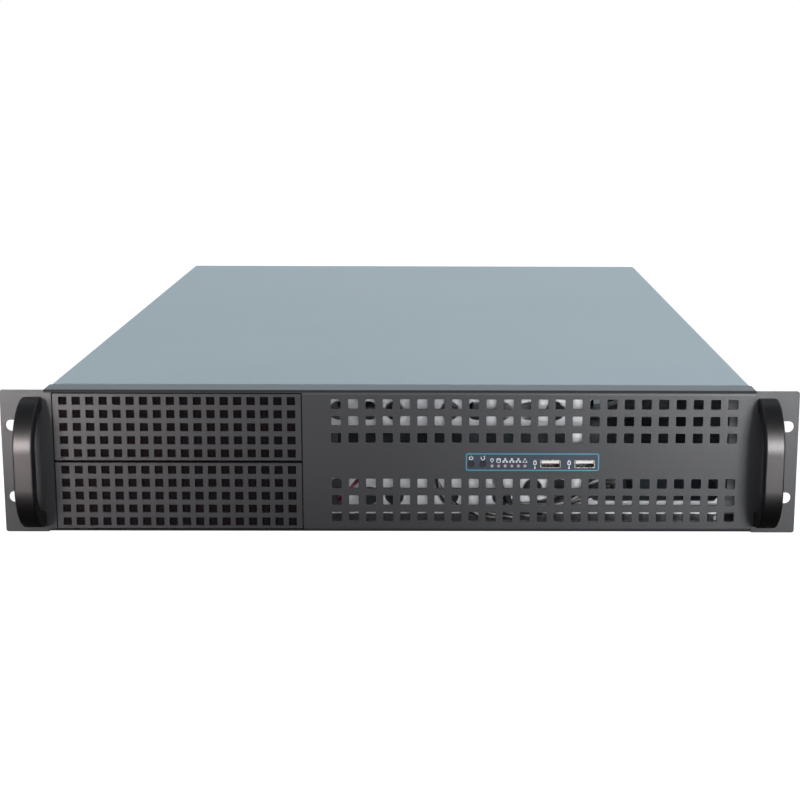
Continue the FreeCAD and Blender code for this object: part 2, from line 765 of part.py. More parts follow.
def fan_wall():
    body = new_body("fan_wall")
    back = "(fan_wall_y - wall_flange)"
    front = "(fan_wall_y + sheet)"
    section = [(back, "sheet"), (front, "sheet"), (front, WALL_TOP), (back, WALL_TOP)]
    pad(body, "YZ", "-" + WALL_HALF, "2 * " + WALL_HALF, folded, section, "sheet", 1)
    bore = cut(body, "XZ", "fan_wall_y", "sheet", circle, "fan_first_x", "fan_z", "fan_bore")
    repeat(body, bore, ("H_Axis", FAN_COUNT, "fan_pitch"))
    fixings = [("fan_first_x %s fan_hole_spacing / 2" % a, "fan_z %s fan_hole_spacing / 2" % b,
                "(screw_radius + slide_gap)") for a in "-+" for b in "-+"]
    holes = cut(body, "XZ", "fan_wall_y", "sheet", several(circle, *fixings))
    repeat(body, holes, ("H_Axis", FAN_COUNT, "fan_pitch"))


def fan_place(number):
    return {"x": "fan_first_x + %d * fan_pitch" % number, "y": "fan_wall_y + sheet", "z": "fan_z"}


def fan_frame(number):
    body = new_body("fan_frame_%d" % (number + 1), **fan_place(number))
    half = "fan_size / 2"
    pad(body, "XZ", "0", "fan_depth", rectangle, "-" + half, half, "-" + half, half,
        corner="fan_corner")
    cut(body, "XZ", "0", "fan_depth", circle, "0", "0", "fan_bore")
    back = "fan_depth - motor_plate"
    reach = ("-fan_bore - overlap", "fan_bore + overlap")
    across = ("-fan_strut / 2", "fan_strut / 2")
    for sides, heights in ((reach, across), (across, reach)):
        pad(body, "XZ", back, "motor_plate", rectangle, *sides, *heights)
    pad(body, "XZ", back, "motor_plate", circle, "0", "0", "hub_radius")
    cut(body, "XZ", back, "motor_plate", circle, "0", "0", "(shaft_radius + running_gap)")
    corners = [("%sfan_hole_spacing / 2" % a, "%sfan_hole_spacing / 2" % b,
                "(screw_radius + slide_gap)") for a in ("-", "") for b in ("-", "")]
    cut(body, "XZ", "0", "fan_depth", several(circle, *corners))


def fan_rotor(number):
    body = new_body("fan_rotor_%d" % (number + 1), **fan_place(number))
    hub_front = "(fan_depth - motor_plate - fit_gap - hub_length)"
    pad(body, "XZ", hub_front, "hub_length", circle, "0", "0", "hub_radius")
    pad(body, "XZ", hub_front + " + hub_length - overlap", "fit_gap + overlap + motor_plate",
        circle, "0", "0", "shaft_radius")
    middle = "(%s + hub_length / 2)" % hub_front
    sections = []
    for radius, share in (("(hub_radius - overlap)", "0.6"), ("blade_tip", "1")):
        sketch = plane_sketch(body, "XY", radius)
        sweep = "blade_sweep * %s / 2" % share
        slanted(sketch, middle, sweep)
        sections.append(sketch)
    blade = body.newObject("PartDesign::AdditiveLoft", body.Label + "_blade")
    blade.Profile = sections[0]
    blade.Sections = [sections[1]]
    blade.Ruled = True
    ring = body.newObject("PartDesign::PolarPattern", body.Label + "_blades")
    ring.Originals = [blade]
    ring.Axis = (next(o for o in body.Origin.OriginFeatures if o.Role == "Y_Axis"), [""])
    ring.Angle = 360
    bind(ring, "Occurrences", "blade_count")
    body.Tip = ring


def slanted(sketch, middle, sweep):
    """Draw a blade's section: a thin slanted strip, across and along the axle."""
    front = "%s - blade_depth / 2" % middle
    back = "%s + blade_depth / 2" % middle
    corners = [("-%s - blade_thick / 2" % sweep, front), ("-%s + blade_thick / 2" % sweep, front),
               ("%s + blade_thick / 2" % sweep, back), ("%s - blade_thick / 2" % sweep, back)]
    outline(sketch, corners)


# Rear panel

def rear_panel():
    body = new_body("rear_panel")
    front = "(case_depth - rear_flange)"
    section = [(front, "sheet"), ("case_depth", "sheet"), ("case_depth", WALL_TOP),
               (front, WALL_TOP)]
    pad(body, "YZ", "-" + WALL_HALF, "2 * " + WALL_HALF, folded, section, "sheet", 1)
    cut(body, "XZ", REAR_INNER, "sheet", rectangle, "io_left", "io_left + io_width",
        "io_low", "io_low + io_height")
    cut(body, "XZ", REAR_INNER, "sheet", rectangle, "supply_left", "supply_left + supply_width",
        "supply_low", "supply_low + supply_height", corner="supply_corner")
    gap = cut(body, "XZ", REAR_INNER, "sheet", rectangle, "slot_first_x - slot_width / 2",
              "slot_first_x + slot_width / 2", "slot_low", "slot_low + slot_height")
    repeat(body, gap, ("H_Axis", "slot_count", "slot_pitch"))
    holes = [(side + "thumb_x", THUMB_Z, "(screw_radius + fit_gap)") for side in ("-", "")]
    cut(body, "XZ", REAR_INNER, "sheet", several(circle, *holes))
    left = "io_left + rear_vent_inset"
    low = "io_low + io_height + rear_vent_rise"
    vent = cut(body, "XZ", REAR_INNER, "sheet", rectangle, left, left + " + rear_vent_length",
               low, low + " + rear_vent_height", corner="rear_vent_corner")
    repeat(body, vent, ("H_Axis", "rear_vent_columns", "rear_vent_pitch_x"),
           ("V_Axis", "rear_vent_rows", "rear_vent_pitch_z"))


def slot_rail():
    body = new_body("slot_rail")
    front = "(%s - rail_depth)" % RAIL_BACK
    section = [(front, "rail_top - rail_lip"), (front, "rail_top"), (RAIL_BACK, "rail_top")]
    right = "(slot_first_x + slot_pitch * (slot_count - 1) + slot_pitch / 2 + rail_end)"
    pad(body, "YZ", "-" + TRAY_INNER, TRAY_INNER + " + " + right, folded, section, "sheet", -1)
    pad(body, "XZ", front + " + sheet", "%s - %s - sheet" % (REAR_INNER, front),
        rectangle, right + " - sheet", right, "rail_top - rail_lip", "rail_top")
    hole = cut(body, "XY", "rail_top - sheet", "sheet", circle,
               "slot_first_x", SLOT_SCREW_Y, "(screw_radius + slide_gap)")
    repeat(body, hole, ("H_Axis", "slot_count", "slot_pitch"))


def slot_cover(number):
    body = new_body("slot_cover_%d" % (number + 1), x="slot_first_x + %d * slot_pitch" % number)
    top = "(rail_top + bracket_sheet)"
    section = [(REAR_INNER + " - bracket_tab", top), (REAR_INNER, top),
               (REAR_INNER, "slot_low - bracket_tongue")]
    pad(body, "YZ", "-bracket_width / 2", "bracket_width", folded, section,
        "bracket_sheet", -1, radius="bracket_bend")
    cut(body, "XY", "rail_top", "bracket_sheet", circle, "0", SLOT_SCREW_Y,
        "(screw_radius + slide_gap)")


def power_supply_bracket():
    body = new_body("power_supply_bracket")
    left = "(supply_left - guide_gap)"
    section = [(left, "guide_height"), (left, "sheet"), (left + " + guide_foot", "sheet")]
    pad(body, "XZ", "case_depth - guide_reach", "guide_reach - wall_flange - fit_gap",
        folded, section, "sheet", 1)
    cut(body, "YZ", left, "sheet", rectangle, "case_depth - guide_window_front",
        "case_depth - guide_window_back", "guide_window_low", "guide_window_high",
        corner="guide_window_corner")


# Control board behind the panel, with its sockets, lamps and buttons

def control_board():
    body = new_body("control_board")
    pad(body, "XZ", "board_front", "board_thick", rectangle,
        "board_left", "board_right", "board_low", "board_high", corner="board_corner")
    half = "header_size / 2"
    headers = [("board_left", "board_left + header_size - header_inset",
                "board_high - header_size - red_header_drop", "board_high - red_header_drop")]
    headers += [("%s - %s" % (x, half), "%s + %s" % (x, half), "board_low + header_inset",
                 "board_low + header_inset + header_size")
                for x in ("switch_header_x", "usb_header_x")]
    pad(body, "XZ", BOARD_BACK, "header_size", several(rectangle, *headers))
    holes = [(x, BOARD_FIX_Z, "(screw_radius + slide_gap)") for x in BOARD_FIX_X]
    cut(body, "XZ", "board_front", "board_thick", several(circle, *holes))


def usb_port(number, x):
    shell = new_body("usb_port_%d" % number, x=x, z="usb_z")
    half_x = "usb_width / 2"
    half_z = "usb_height / 2"
    inside = ("usb_shell - " + half_x, half_x + " - usb_shell",
              "usb_shell - " + half_z, half_z + " - usb_shell")
    pad(shell, "XZ", "slide_gap", "board_front - slide_gap", rectangle,
        "-" + half_x, half_x, "-" + half_z, half_z, corner="usb_corner")
    cut(shell, "XZ", "slide_gap", "board_front - slide_gap", rectangle, *inside)
    insert = new_body("usb_insert_%d" % number, x=x, z="usb_z")
    pad(insert, "XZ", "board_front - usb_base", "usb_base", rectangle, *inside)
    pad(insert, "XZ", "usb_tongue_inset", "board_front - usb_base - usb_tongue_inset + fit_gap",
        rectangle, "usb_shell + usb_tongue_side - " + half_x,
        half_x + " - usb_shell - usb_tongue_side", "slide_gap", half_z + " - 2 * usb_shell")


def led(number):
    body = new_body("led_%d" % (number + 1), x="led_first_x + %d * led_pitch" % number, z="led_z")
    pad(body, "XZ", "-led_proud", "board_front + led_proud", circle, "0", "0", "led_radius")
    pad(body, "XZ", "board_front - led_base", "led_base", circle,
        "0", "0", "led_radius + led_rim")


def button(label, x):
    body = new_body(label + "_button", x=x, z="button_z")
    pad(body, "XZ", "-button_proud", "button_proud + panel_sheet + fit_gap + button_rim_thick",
        circle, "0", "0", "button_radius")
    pad(body, "XZ", "panel_sheet + fit_gap", "button_rim_thick", circle,
        "0", "0", "button_radius + button_rim")
    pad(body, "XZ", "panel_sheet + fit_gap", SWITCH_FRONT + " - panel_sheet - fit_gap + stem_reach",
        circle, "0", "0", "stem_radius")
    switch = new_body(label + "_switch", x=x, z="button_z")
    half = "switch_size / 2"
    pad(switch, "XZ", SWITCH_FRONT, "switch_depth", rectangle,
        "-" + half, half, "-" + half, half, corner="switch_corner")
    cut(switch, "XZ", SWITCH_FRONT, "stem_reach + button_travel + fit_gap", circle,
        "0", "0", "stem_radius + fit_gap")


# Screws, each a round head on a shank

def screw_set(label, spots, axis, head, head_radius, length):
    """Make a group of equal screws, each with its head's seat at its spot."""
    screws = []
    for number, (x, y, z) in enumerate(spots):
        top = doc.addObject("Part::Cylinder", "%s_head_%d" % (label, number))
        shank = doc.addObject("Part::Cylinder", "%s_shank_%d" % (label, number))
        bind(top, "Radius", head_radius)
        bind(top, "Height", head)
        bind(shank, "Radius", "screw_radius")
        bind(shank, "Height", "%s + %s / 2" % (length, head))
        turn = {"rear": FreeCAD.Rotation(Vector(1, 0, 0), -90),
                "front": FreeCAD.Rotation(Vector(1, 0, 0), 90),
                "up": FreeCAD.Rotation()}[axis]
        for piece in (top, shank):
            piece.Placement = FreeCAD.Placement(Vector(), turn)
            bind(piece, "Placement.Base.x", x)
        run = {"rear": 1, "front": -1, "up": 1}[axis]
        along = "z" if axis == "up" else "y"
        across = "y" if axis == "up" else "z"
        seat = z if axis == "up" else y
        bind(top, "Placement.Base." + along, seat)
        bind(top, "Placement.Base." + across, y if axis == "up" else z)
        bind(shank, "Placement.Base." + across, y if axis == "up" else z)
        bind(shank, "Placement.Base." + along, "%s - %d * (%s)" % (seat, run, length))
        screw = doc.addObject("Part::Fuse", "%s_%d" % (label, number))
        screw.Base = top
        screw.Tool = shank
        screws.append(screw)
    group = doc.addObject("Part::Compound", label)
    group.Links = screws
    group.Label = label
    place(group)


def screws():
    feet = [(side + "handle_centre", "panel_sheet", foot)
            for side in ("-", "") for foot in HANDLE_FOOT]
    screw_set("handle_screws", feet, "rear", "screw_head", "screw_head_radius",
              "panel_sheet + handle_screw_bite")
    lips = [(x, WALL_BACK, z) for x in LIP_SCREW_X for z in LIP_SCREW_Z]
    screw_set("panel_screws", lips, "rear", "screw_head", "screw_head_radius",
              "sheet + panel_sheet + panel_screw_bite")
    fans = [("fan_first_x + %d * fan_pitch %s fan_hole_spacing / 2" % (n, a), "fan_wall_y",
             "fan_z %s fan_hole_spacing / 2" % b)
            for n in range(FAN_COUNT) for a in "-+" for b in "-+"]
    screw_set("fan_screws", fans, "front", "screw_head", "screw_head_radius",
              "sheet + fan_screw_bite")
    tabs = [("slot_first_x + %d * slot_pitch" % n, SLOT_SCREW_Y, "(rail_top + bracket_sheet)")
            for n in range(SIZES["slot_count"])]
    screw_set("slot_screws", tabs, "up", "screw_head", "screw_head_radius",
              "bracket_sheet + sheet + slot_screw_bite")
    boards = [(x, BOARD_BACK, BOARD_FIX_Z) for x in BOARD_FIX_X]
    screw_set("board_screws", boards, "rear", "screw_head", "spacer_radius",
              "board_thick + board_screw_bite")
    thumbs = [(side + "thumb_x", "(case_depth + cover_rear_gap + sheet)", THUMB_Z)
              for side in ("-", "")]
    screw_set("cover_thumbscrews", thumbs, "rear", "thumb_head", "thumb_radius",
              "sheet + thumb_screw_bite")


def board_spacers():
    tubes = []
    for number, x in enumerate(BOARD_FIX_X):
        outer = doc.addObject("Part::Cylinder", "spacer_%d" % number)
        bore = doc.addObject("Part::Cylinder", "spacer_bore_%d" % number)
        bind(outer, "Radius", "spacer_radius")
        bind(bore, "Radius", "screw_radius + slide_gap / 2")
        bind(outer, "Height", "board_front - panel_sheet")
        bind(bore, "Height", "board_front - panel_sheet")
        for piece in (outer, bore):
            piece.Placement = FreeCAD.Placement(Vector(), FreeCAD.Rotation(Vector(1, 0, 0), -90))
            bind(piece, "Placement.Base.x", x)
            bind(piece, "Placement.Base.y", "panel_sheet")
            bind(piece, "Placement.Base.z", BOARD_FIX_Z)
        tube = doc.addObject("Part::Cut", "spacer_tube_%d" % number)
        tube.Base = outer
        tube.Tool = bore
        tubes.append(tube)
    group = doc.addObject("Part::Compound", "board_spacers")
    group.Links = tubes
    group.Label = "board_spacers"
    place(group)


def board_standoffs():
    """Hexagon pillars for a main board: three rows of three."""
    pillars = []
    columns = ["standoff_left", "standoff_left + standoff_middle", "standoff_left + standoff_wide"]
    rows = ["%s - standoff_inset" % REAR_INNER,
            "%s - standoff_inset - standoff_mid_row" % REAR_INNER,
            "%s - standoff_inset - standoff_deep" % REAR_INNER]
    for x in columns:
        for y in rows:
            number = len(pillars)
            pillar = doc.addObject("Part::Prism", "pillar_%d" % number)
            pillar.Polygon = 6
            bore = doc.addObject("Part::Cylinder", "pillar_bore_%d" % number)
            bind(pillar, "Circumradius", "standoff_radius")
            bind(pillar, "Height", "standoff_height")
            bind(bore, "Radius", "screw_radius")
            bind(bore, "Height", "standoff_height")
            for piece in (pillar, bore):
                bind(piece, "Placement.Base.x", x)
                bind(piece, "Placement.Base.y", y)
                bind(piece, "Placement.Base.z", "sheet")
            hollow = doc.addObject("Part::Cut", "pillar_hollow_%d" % number)
            hollow.Base = pillar
            hollow.Tool = bore
            pillars.append(hollow)
    group = doc.addObject("Part::Compound", "board_standoffs")
    group.Links = pillars
    group.Label = "board_standoffs"
    place(group)


# Leads inside the case: straight runs joined by tangent arcs

def lead_path(points):
    """Join the points by straight runs, with the largest arc that each turn allows."""
    edges = []
    radii = []
    start = points[0]
    for before, here, after in zip(points, points[1:], points[2:]):
        back = before - here
        ahead = after - here
        half_turn = (math.pi - back.getAngle(ahead)) / 2
        trim = 0.45 * min(back.Length, ahead.Length)
        radii.append(trim / math.tan(half_turn))
        enter = here + back.normalize() * trim
        leave = here + ahead.normalize() * trim
        bisector = (enter + leave) / 2 - here
        centre = here + bisector.normalize() * (radii[-1] / math.cos(half_turn))
        middle = centre + (here - centre).normalize() * radii[-1]
        edges.append(Part.LineSegment(start, enter).toShape())
        edges.append(Part.Arc(enter, middle, leave).toShape())
        start = leave
    edges.append(Part.LineSegment(start, points[-1]).toShape())
    return Part.Wire(edges), radii


def lead(label, radius, points):
    path, radii = lead_path(points)
    first = path.Edges[0]
    direction = first.tangentAt(first.FirstParameter)
    ring = Part.Wire([Part.Circle(points[0], direction, radius).toShape()])
    tube = path.makePipeShell([ring], True, False)
    piece = doc.addObject("Part::Feature", label)
    piece.Shape = tube
    piece.Label = label
    place(piece)
    share = tube.Volume / (math.pi * radius ** 2 * path.Length)
    print(label, "length %.0f mm, tightest arc %.1f mm, volume share %.4f"
          % (path.Length, min(radii), share))


# Points of the leads, chosen by hand: from the headers of the control board, in front of
# the inner wall, then through its large port or its lead slot to the plugs

def leads():
    axis = value(BOARD_BACK + " + header_size / 2")
    exit_z = value("board_low + header_inset")
    wall = value(WALL_BACK)
    port = value("port_left")
    switch = value("switch_header_x")
    plug_x, plug_y, plug_z = [value(part) for part in SWITCH_PLUG]
    lead("switch_lead", value("lead_radius"), [
        Vector(switch, axis, exit_z), Vector(switch, axis, 24),
        Vector(switch + 18, axis, 7.5), Vector(switch + 46, axis - 0.5, 6),
        Vector(port - 14, axis - 2, 9), Vector(port + 11, axis + 3, 22),
        Vector(port + 22, wall + 22, 22), Vector(plug_x, plug_y - 32, plug_z),
        Vector(plug_x, plug_y, plug_z)])
    usb = value("usb_header_x")
    plug_x, plug_y, plug_z = [value(part) for part in USB_PLUG]
    lead("usb_lead", value("usb_lead_radius"), [
        Vector(usb, axis, exit_z), Vector(usb, axis, 24), Vector(usb + 5, axis, 15.5),
        Vector(usb + 16, axis, 11.8), Vector(port - 8, axis, 17), Vector(port + 13, axis + 5, 30),
        Vector(port + 30, wall + 20, 29), Vector(plug_x, plug_y - 32, plug_z),
        Vector(plug_x, plug_y, plug_z)])
    slot_x = value("lead_slot_right")
    slot_z = value("lead_slot_low")
    exit_z = value("board_high - header_size / 2 - red_header_drop")
    plug_x, plug_y, plug_z = [value(part) for part in RED_PLUG]
    lead("red_lead", value("red_lead_radius"), [
        Vector(value("board_left"), axis, exit_z), Vector(-8, axis, exit_z),
        Vector(-22, axis - 5, 35), Vector(-32, axis - 10, 25), Vector(slot_x - 2, 7, 19.5),
        Vector(slot_x - 4.3, 13, slot_z + 4.9), Vector(slot_x - 2, 25, slot_z + 4.3),
        Vector(plug_x, plug_y - 22, plug_z), Vector(plug_x, plug_y, plug_z)])


def plug(label, x, y, z):
    """A header plug: a small block on the end of a lead."""
    body = new_body(label, x=x, y=y, z=z)
    half = "plug_size / 2"
    pad(body, "XZ", "0", "plug_length", rectangle, "-" + half, half, "-" + half, half,
        corner="plug_corner")


handle("left_handle", "-1")
handle("right_handle", "1")
front_panel()
bay_cover("lower_bay_cover", "panel_sheet + bay_gap")
bay_cover("upper_bay_cover", "panel_sheet + bay_gap + bay_middle_gap + " + BAY_COVER_HEIGHT)
chassis_tray()
top_cover()
inner_front_wall()
cages()
fan_wall()
for fan in range(FAN_COUNT):
    fan_frame(fan)
    fan_rotor(fan)
rear_panel()
slot_rail()
for bracket in range(SIZES["slot_count"]):
    slot_cover(bracket)
power_supply_bracket()
control_board()
usb_port(1, "usb_first_x")
usb_port(2, "usb_second_x")
for lamp_number in range(LED_COUNT):
    led(lamp_number)
button("power", "power_x")
button("reset", "reset_x")
screws()
board_spacers()
board_standoffs()
leads()
plug("switch_plug", *SWITCH_PLUG)
plug("usb_plug", *USB_PLUG)
plug("red_plug", *RED_PLUG)

doc.recompute()

for item in doc.Objects:
    if "Invalid" in item.State or "Error" in item.State:
        raise RuntimeError("%s did not build: %s" % (item.Label, item.State))
shapes = {piece.Label: piece.Shape for piece in pieces}
for label, shape in shapes.items():
    if shape.isNull() or not shape.isValid() or not shape.Solids:
        raise RuntimeError("%s has no valid solid" % label)

os.makedirs("parts", exist_ok=True)
for label, shape in shapes.items():
    shape.exportStep("parts/%s.step" % label)
box = Part.makeCompound(list(shapes.values())).BoundBox
print("%d pieces, box %.2f to %.2f, %.2f to %.2f, %.2f to %.2f" % (
    len(pieces), box.XMin, box.XMax, box.YMin, box.YMax, box.ZMin, box.ZMax))
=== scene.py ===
import json
import math

import bmesh
import bpy
from mathutils import Matrix, Vector


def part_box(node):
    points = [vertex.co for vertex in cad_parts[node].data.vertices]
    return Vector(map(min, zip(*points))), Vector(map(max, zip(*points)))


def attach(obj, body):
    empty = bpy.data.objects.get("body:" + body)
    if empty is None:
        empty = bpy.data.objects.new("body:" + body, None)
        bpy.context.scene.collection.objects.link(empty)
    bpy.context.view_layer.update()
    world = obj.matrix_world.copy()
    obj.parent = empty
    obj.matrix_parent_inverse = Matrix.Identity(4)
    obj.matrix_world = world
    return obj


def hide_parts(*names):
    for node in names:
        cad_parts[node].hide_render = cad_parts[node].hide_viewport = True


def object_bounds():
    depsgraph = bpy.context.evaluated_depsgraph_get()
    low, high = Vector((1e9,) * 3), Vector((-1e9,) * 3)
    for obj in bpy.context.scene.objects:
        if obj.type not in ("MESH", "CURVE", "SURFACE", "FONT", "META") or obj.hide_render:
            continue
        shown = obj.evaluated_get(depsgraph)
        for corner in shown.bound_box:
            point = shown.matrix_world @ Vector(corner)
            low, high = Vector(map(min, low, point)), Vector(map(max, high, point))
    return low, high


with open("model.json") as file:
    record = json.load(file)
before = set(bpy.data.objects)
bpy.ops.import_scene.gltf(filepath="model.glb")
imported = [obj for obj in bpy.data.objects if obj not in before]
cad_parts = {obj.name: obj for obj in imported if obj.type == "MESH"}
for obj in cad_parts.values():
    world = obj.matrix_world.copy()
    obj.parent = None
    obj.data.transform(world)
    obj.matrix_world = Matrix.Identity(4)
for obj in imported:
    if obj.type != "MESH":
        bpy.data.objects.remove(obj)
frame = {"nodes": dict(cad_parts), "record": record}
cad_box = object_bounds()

MM = 0.001
NODES = frame["nodes"]
SLOTS = {part["node"]: part["material_slot"] for part in frame["record"]["subparts"]}
FACE_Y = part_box("front_panel")[0].y


def spot(x, y, z):
    """Point given in millimetres, with y measured from the face of the front panel."""
    return Vector((x * MM, FACE_Y + y * MM, z * MM))


# Camera: the photograph's own view, found from the rack panel's standard sizes
FOCAL_PIXELS = 1687.8
PICTURE_WIDTH = 800
SENSOR_MM = 36.0
OPTICAL_CENTRE = (450, 430)
CAMERA_PLACE = spot(21.86, -998.98, 278.86)
CAMERA_FORWARD = Vector((0.00792, 0.97761, -0.21026))
CAMERA_RIGHT = Vector((0.99997, -0.00732, 0.00362))


def make_camera():
    data = bpy.data.cameras.new("photo_camera")
    data.sensor_width = SENSOR_MM
    data.lens = FOCAL_PIXELS * SENSOR_MM / PICTURE_WIDTH
    data.shift_x = (PICTURE_WIDTH / 2 - OPTICAL_CENTRE[0]) / PICTURE_WIDTH
    data.shift_y = (OPTICAL_CENTRE[1] - PICTURE_WIDTH / 2) / PICTURE_WIDTH
    data.clip_start = 0.01
    data.clip_end = 50
    camera = bpy.data.objects.new("photo_camera", data)
    bpy.context.scene.collection.objects.link(camera)
    back = -CAMERA_FORWARD.normalized()
    up = back.cross(CAMERA_RIGHT).normalized()
    right = up.cross(back).normalized()
    turn = Matrix((right, up, back)).transposed().to_4x4()
    camera.matrix_world = Matrix.Translation(CAMERA_PLACE) @ turn
    bpy.context.scene.camera = camera


# Surroundings: a white floor and backdrop, a dim ceiling and soft lamps

FLOOR_SIZE = 40.0
# What the camera sees of the floor: its own light by the object, and where it is wholly white
FLOOR_GLOW = 0.88
GLOW_NEAR = 0.1
GLOW_REACH = 1.2
FLOOR_DIFFUSE = 0.4
# What the floor throws back at the object, and the glow a glossy face mirrors of it, dim close by
# as a painted shadow
FLOOR_BOUNCE = 0.3
MIRROR_START = 0.02
MIRROR_REACH = 0.32
MIRROR_NEAR = 0.02
MIRROR_FAR = 0.9
# The world around: bright near the horizon behind the object, dim above and in front
WORLD_TINT = (0.82, 0.93, 1, 1)
HORIZON_LEFT = 1.35
HORIZON_RIGHT = 2.1
CEILING_LIGHT = 0.24
FRONT_LIGHT = 0.06
# Name, place, aim, width, height, watts, spread in degrees and colour of each lamp
LAMPS = [
    ("front", (0.4, -2.1, 0.75), (0.05, -0.2, 0.05), 1.5, 0.6, 19, 180, (1, 0.99, 0.98)),
    ("left", (-0.33, -0.665, 0.1), (-0.28, -0.315, 0.05), 0.1, 0.1, 0.34, 78, (1, 0.93, 0.91)),
    ("right", (0.375, -0.915, 0.13), (0.25, -0.315, 0.05), 0.14, 0.14, 0.8, 80, (0.98, 0.99, 1)),
]


def new_material(name):
    material = bpy.data.materials.new(name)
    material.use_nodes = True
    tree = material.node_tree
    tree.nodes.clear()
    return material, tree


def spread(tree, value, low, high, start, end):
    """Number that runs from start to end as the value runs from low to high."""
    node = tree.nodes.new("ShaderNodeMapRange")
    node.inputs["From Min"].default_value = low
    node.inputs["From Max"].default_value = high
    node.inputs["To Min"].default_value = start
    node.inputs["To Max"].default_value = end
    tree.links.new(value, node.inputs["Value"])
    return node.outputs[0]


def compute(tree, operation, *values):
    """Math node on outputs of other nodes and plain numbers."""
    node = tree.nodes.new("ShaderNodeMath")
    node.operation = operation
    for socket, value in zip(node.inputs, values):
        if isinstance(value, float):
            socket.default_value = value
        else:
            tree.links.new(value, socket)
    return node.outputs[0]


def place_axes(tree, output="Object"):
    """X, Y and Z of a texture coordinate."""
    place = tree.nodes.new("ShaderNodeTexCoord")
    axes = tree.nodes.new("ShaderNodeSeparateXYZ")
    tree.links.new(place.outputs[output], axes.inputs[0])
    return axes.outputs


def clear_of_object(tree):
    """Distance on the floor from the object's own outline, in metres."""
    axes = place_axes(tree)
    gaps = []
    for axis, half in (("X", cad_box[1].x), ("Y", cad_box[1].y)):
        gaps.append(compute(tree, "SUBTRACT", compute(tree, "ABSOLUTE", axes[axis]), half))
    return compute(tree, "MAXIMUM", *gaps)


def glow(tree, strength):
    light = tree.nodes.new("ShaderNodeEmission")
    light.inputs["Color"].default_value = (1, 1, 1, 1)
    tree.links.new(strength, light.inputs["Strength"])
    return light.outputs[0]


def matt(tree, tone):
    surface = tree.nodes.new("ShaderNodeBsdfDiffuse")
    surface.inputs["Color"].default_value = (tone, tone, tone, 1)
    return surface.outputs[0]


def mixed(tree, factor, first, second):
    mix = tree.nodes.new("ShaderNodeMixShader")
    tree.links.new(factor, mix.inputs[0])
    tree.links.new(first, mix.inputs[1])
    tree.links.new(second, mix.inputs[2])
    return mix.outputs[0]


def make_floor():
    """White to the camera; what the object mirrors of it is a glow, dim close by as a painted
    shadow of the object and bright further off.
    """
    mesh = bpy.data.meshes.new("floor")
    half = FLOOR_SIZE / 2
    corners = [(-half, -half, 0), (half, -half, 0), (half, half, 0), (-half, half, 0)]
    mesh.from_pydata(corners, [], [(0, 1, 2, 3)])
    floor = bpy.data.objects.new("floor", mesh)
    bpy.context.scene.collection.objects.link(floor)
    material, tree = new_material("pale_floor")
    away = clear_of_object(tree)
    own_light = glow(tree, spread(tree, away, GLOW_NEAR, GLOW_REACH, FLOOR_GLOW, 1))
    shown = tree.nodes.new("ShaderNodeAddShader")
    tree.links.new(matt(tree, FLOOR_DIFFUSE), shown.inputs[0])
    tree.links.new(own_light, shown.inputs[1])
    # Mirrored glow dim near the object: a painted shadow of the object on the floor.
    mirrored = glow(tree, spread(tree, away, MIRROR_START, MIRROR_REACH, MIRROR_NEAR, MIRROR_FAR))
    path = tree.nodes.new("ShaderNodeLightPath").outputs
    unseen = mixed(tree, path["Is Glossy Ray"], matt(tree, FLOOR_BOUNCE), mirrored)
    seen = mixed(tree, path["Is Camera Ray"], unseen, shown.outputs[0])
    output = tree.nodes.new("ShaderNodeOutputMaterial")
    tree.links.new(seen, output.inputs[0])
    mesh.materials.append(material)


def make_world():
    """White to the camera; to the object, bright low down behind it and dim above."""
    world = bpy.data.worlds.new("studio")
    bpy.context.scene.world = world
    world.use_nodes = True
    tree = world.node_tree
    tree.nodes.clear()
    axes = place_axes(tree, "Generated")
    low = spread(tree, axes["Z"], 0.1, 0.75, 1, 0)
    side = spread(tree, axes["X"], -0.6, 0.6, HORIZON_LEFT, HORIZON_RIGHT)
    behind = spread(tree, axes["Y"], -0.2, 0.5, FRONT_LIGHT, 1)
    ring = compute(tree, "MULTIPLY", compute(tree, "MULTIPLY", low, side), behind)
    light = tree.nodes.new("ShaderNodeBackground")
    light.inputs["Color"].default_value = WORLD_TINT
    tree.links.new(compute(tree, "ADD", ring, CEILING_LIGHT), light.inputs["Strength"])
    white = tree.nodes.new("ShaderNodeBackground")
    white.inputs["Color"].default_value = (1, 1, 1, 1)
    path = tree.nodes.new("ShaderNodeLightPath").outputs
    output = tree.nodes.new("ShaderNodeOutputWorld")
    seen = mixed(tree, path["Is Camera Ray"], light.outputs[0], white.outputs[0])
    tree.links.new(seen, output.inputs[0])


def area_light(name, place, aim, width, height, power, spread_angle, colour):
    data = bpy.data.lights.new(name, "AREA")
    data.shape = "RECTANGLE"
    data.size = width
    data.size_y = height
    data.energy = power
    data.color = colour
    data.spread = math.radians(spread_angle)
    light = bpy.data.objects.new(name, data)
    bpy.context.scene.collection.objects.link(light)
    light.location = place
    light.rotation_euler = (Vector(aim) - Vector(place)).to_track_quat("-Z", "Y").to_euler()


# Materials

def principled(name, colour, roughness, metallic=0.0):
    material, tree = new_material(name)
    shader = tree.nodes.new("ShaderNodeBsdfPrincipled")
    shader.inputs["Base Color"].default_value = (*colour, 1)
    shader.inputs["Roughness"].default_value = roughness
    shader.inputs["Metallic"].default_value = metallic
    output = tree.nodes.new("ShaderNodeOutputMaterial")
    tree.links.new(shader.outputs[0], output.inputs[0])
    return material, tree, shader


def noise(tree, scale, detail=3.0):
    """Noise in metres, the same on every piece."""
    place = tree.nodes.new("ShaderNodeTexCoord")
    texture = tree.nodes.new("ShaderNodeTexNoise")
    texture.inputs["Scale"].default_value = scale
    texture.inputs["Detail"].default_value = detail
    tree.links.new(place.outputs["Object"], texture.inputs["Vector"])
    return texture.outputs["Fac"]


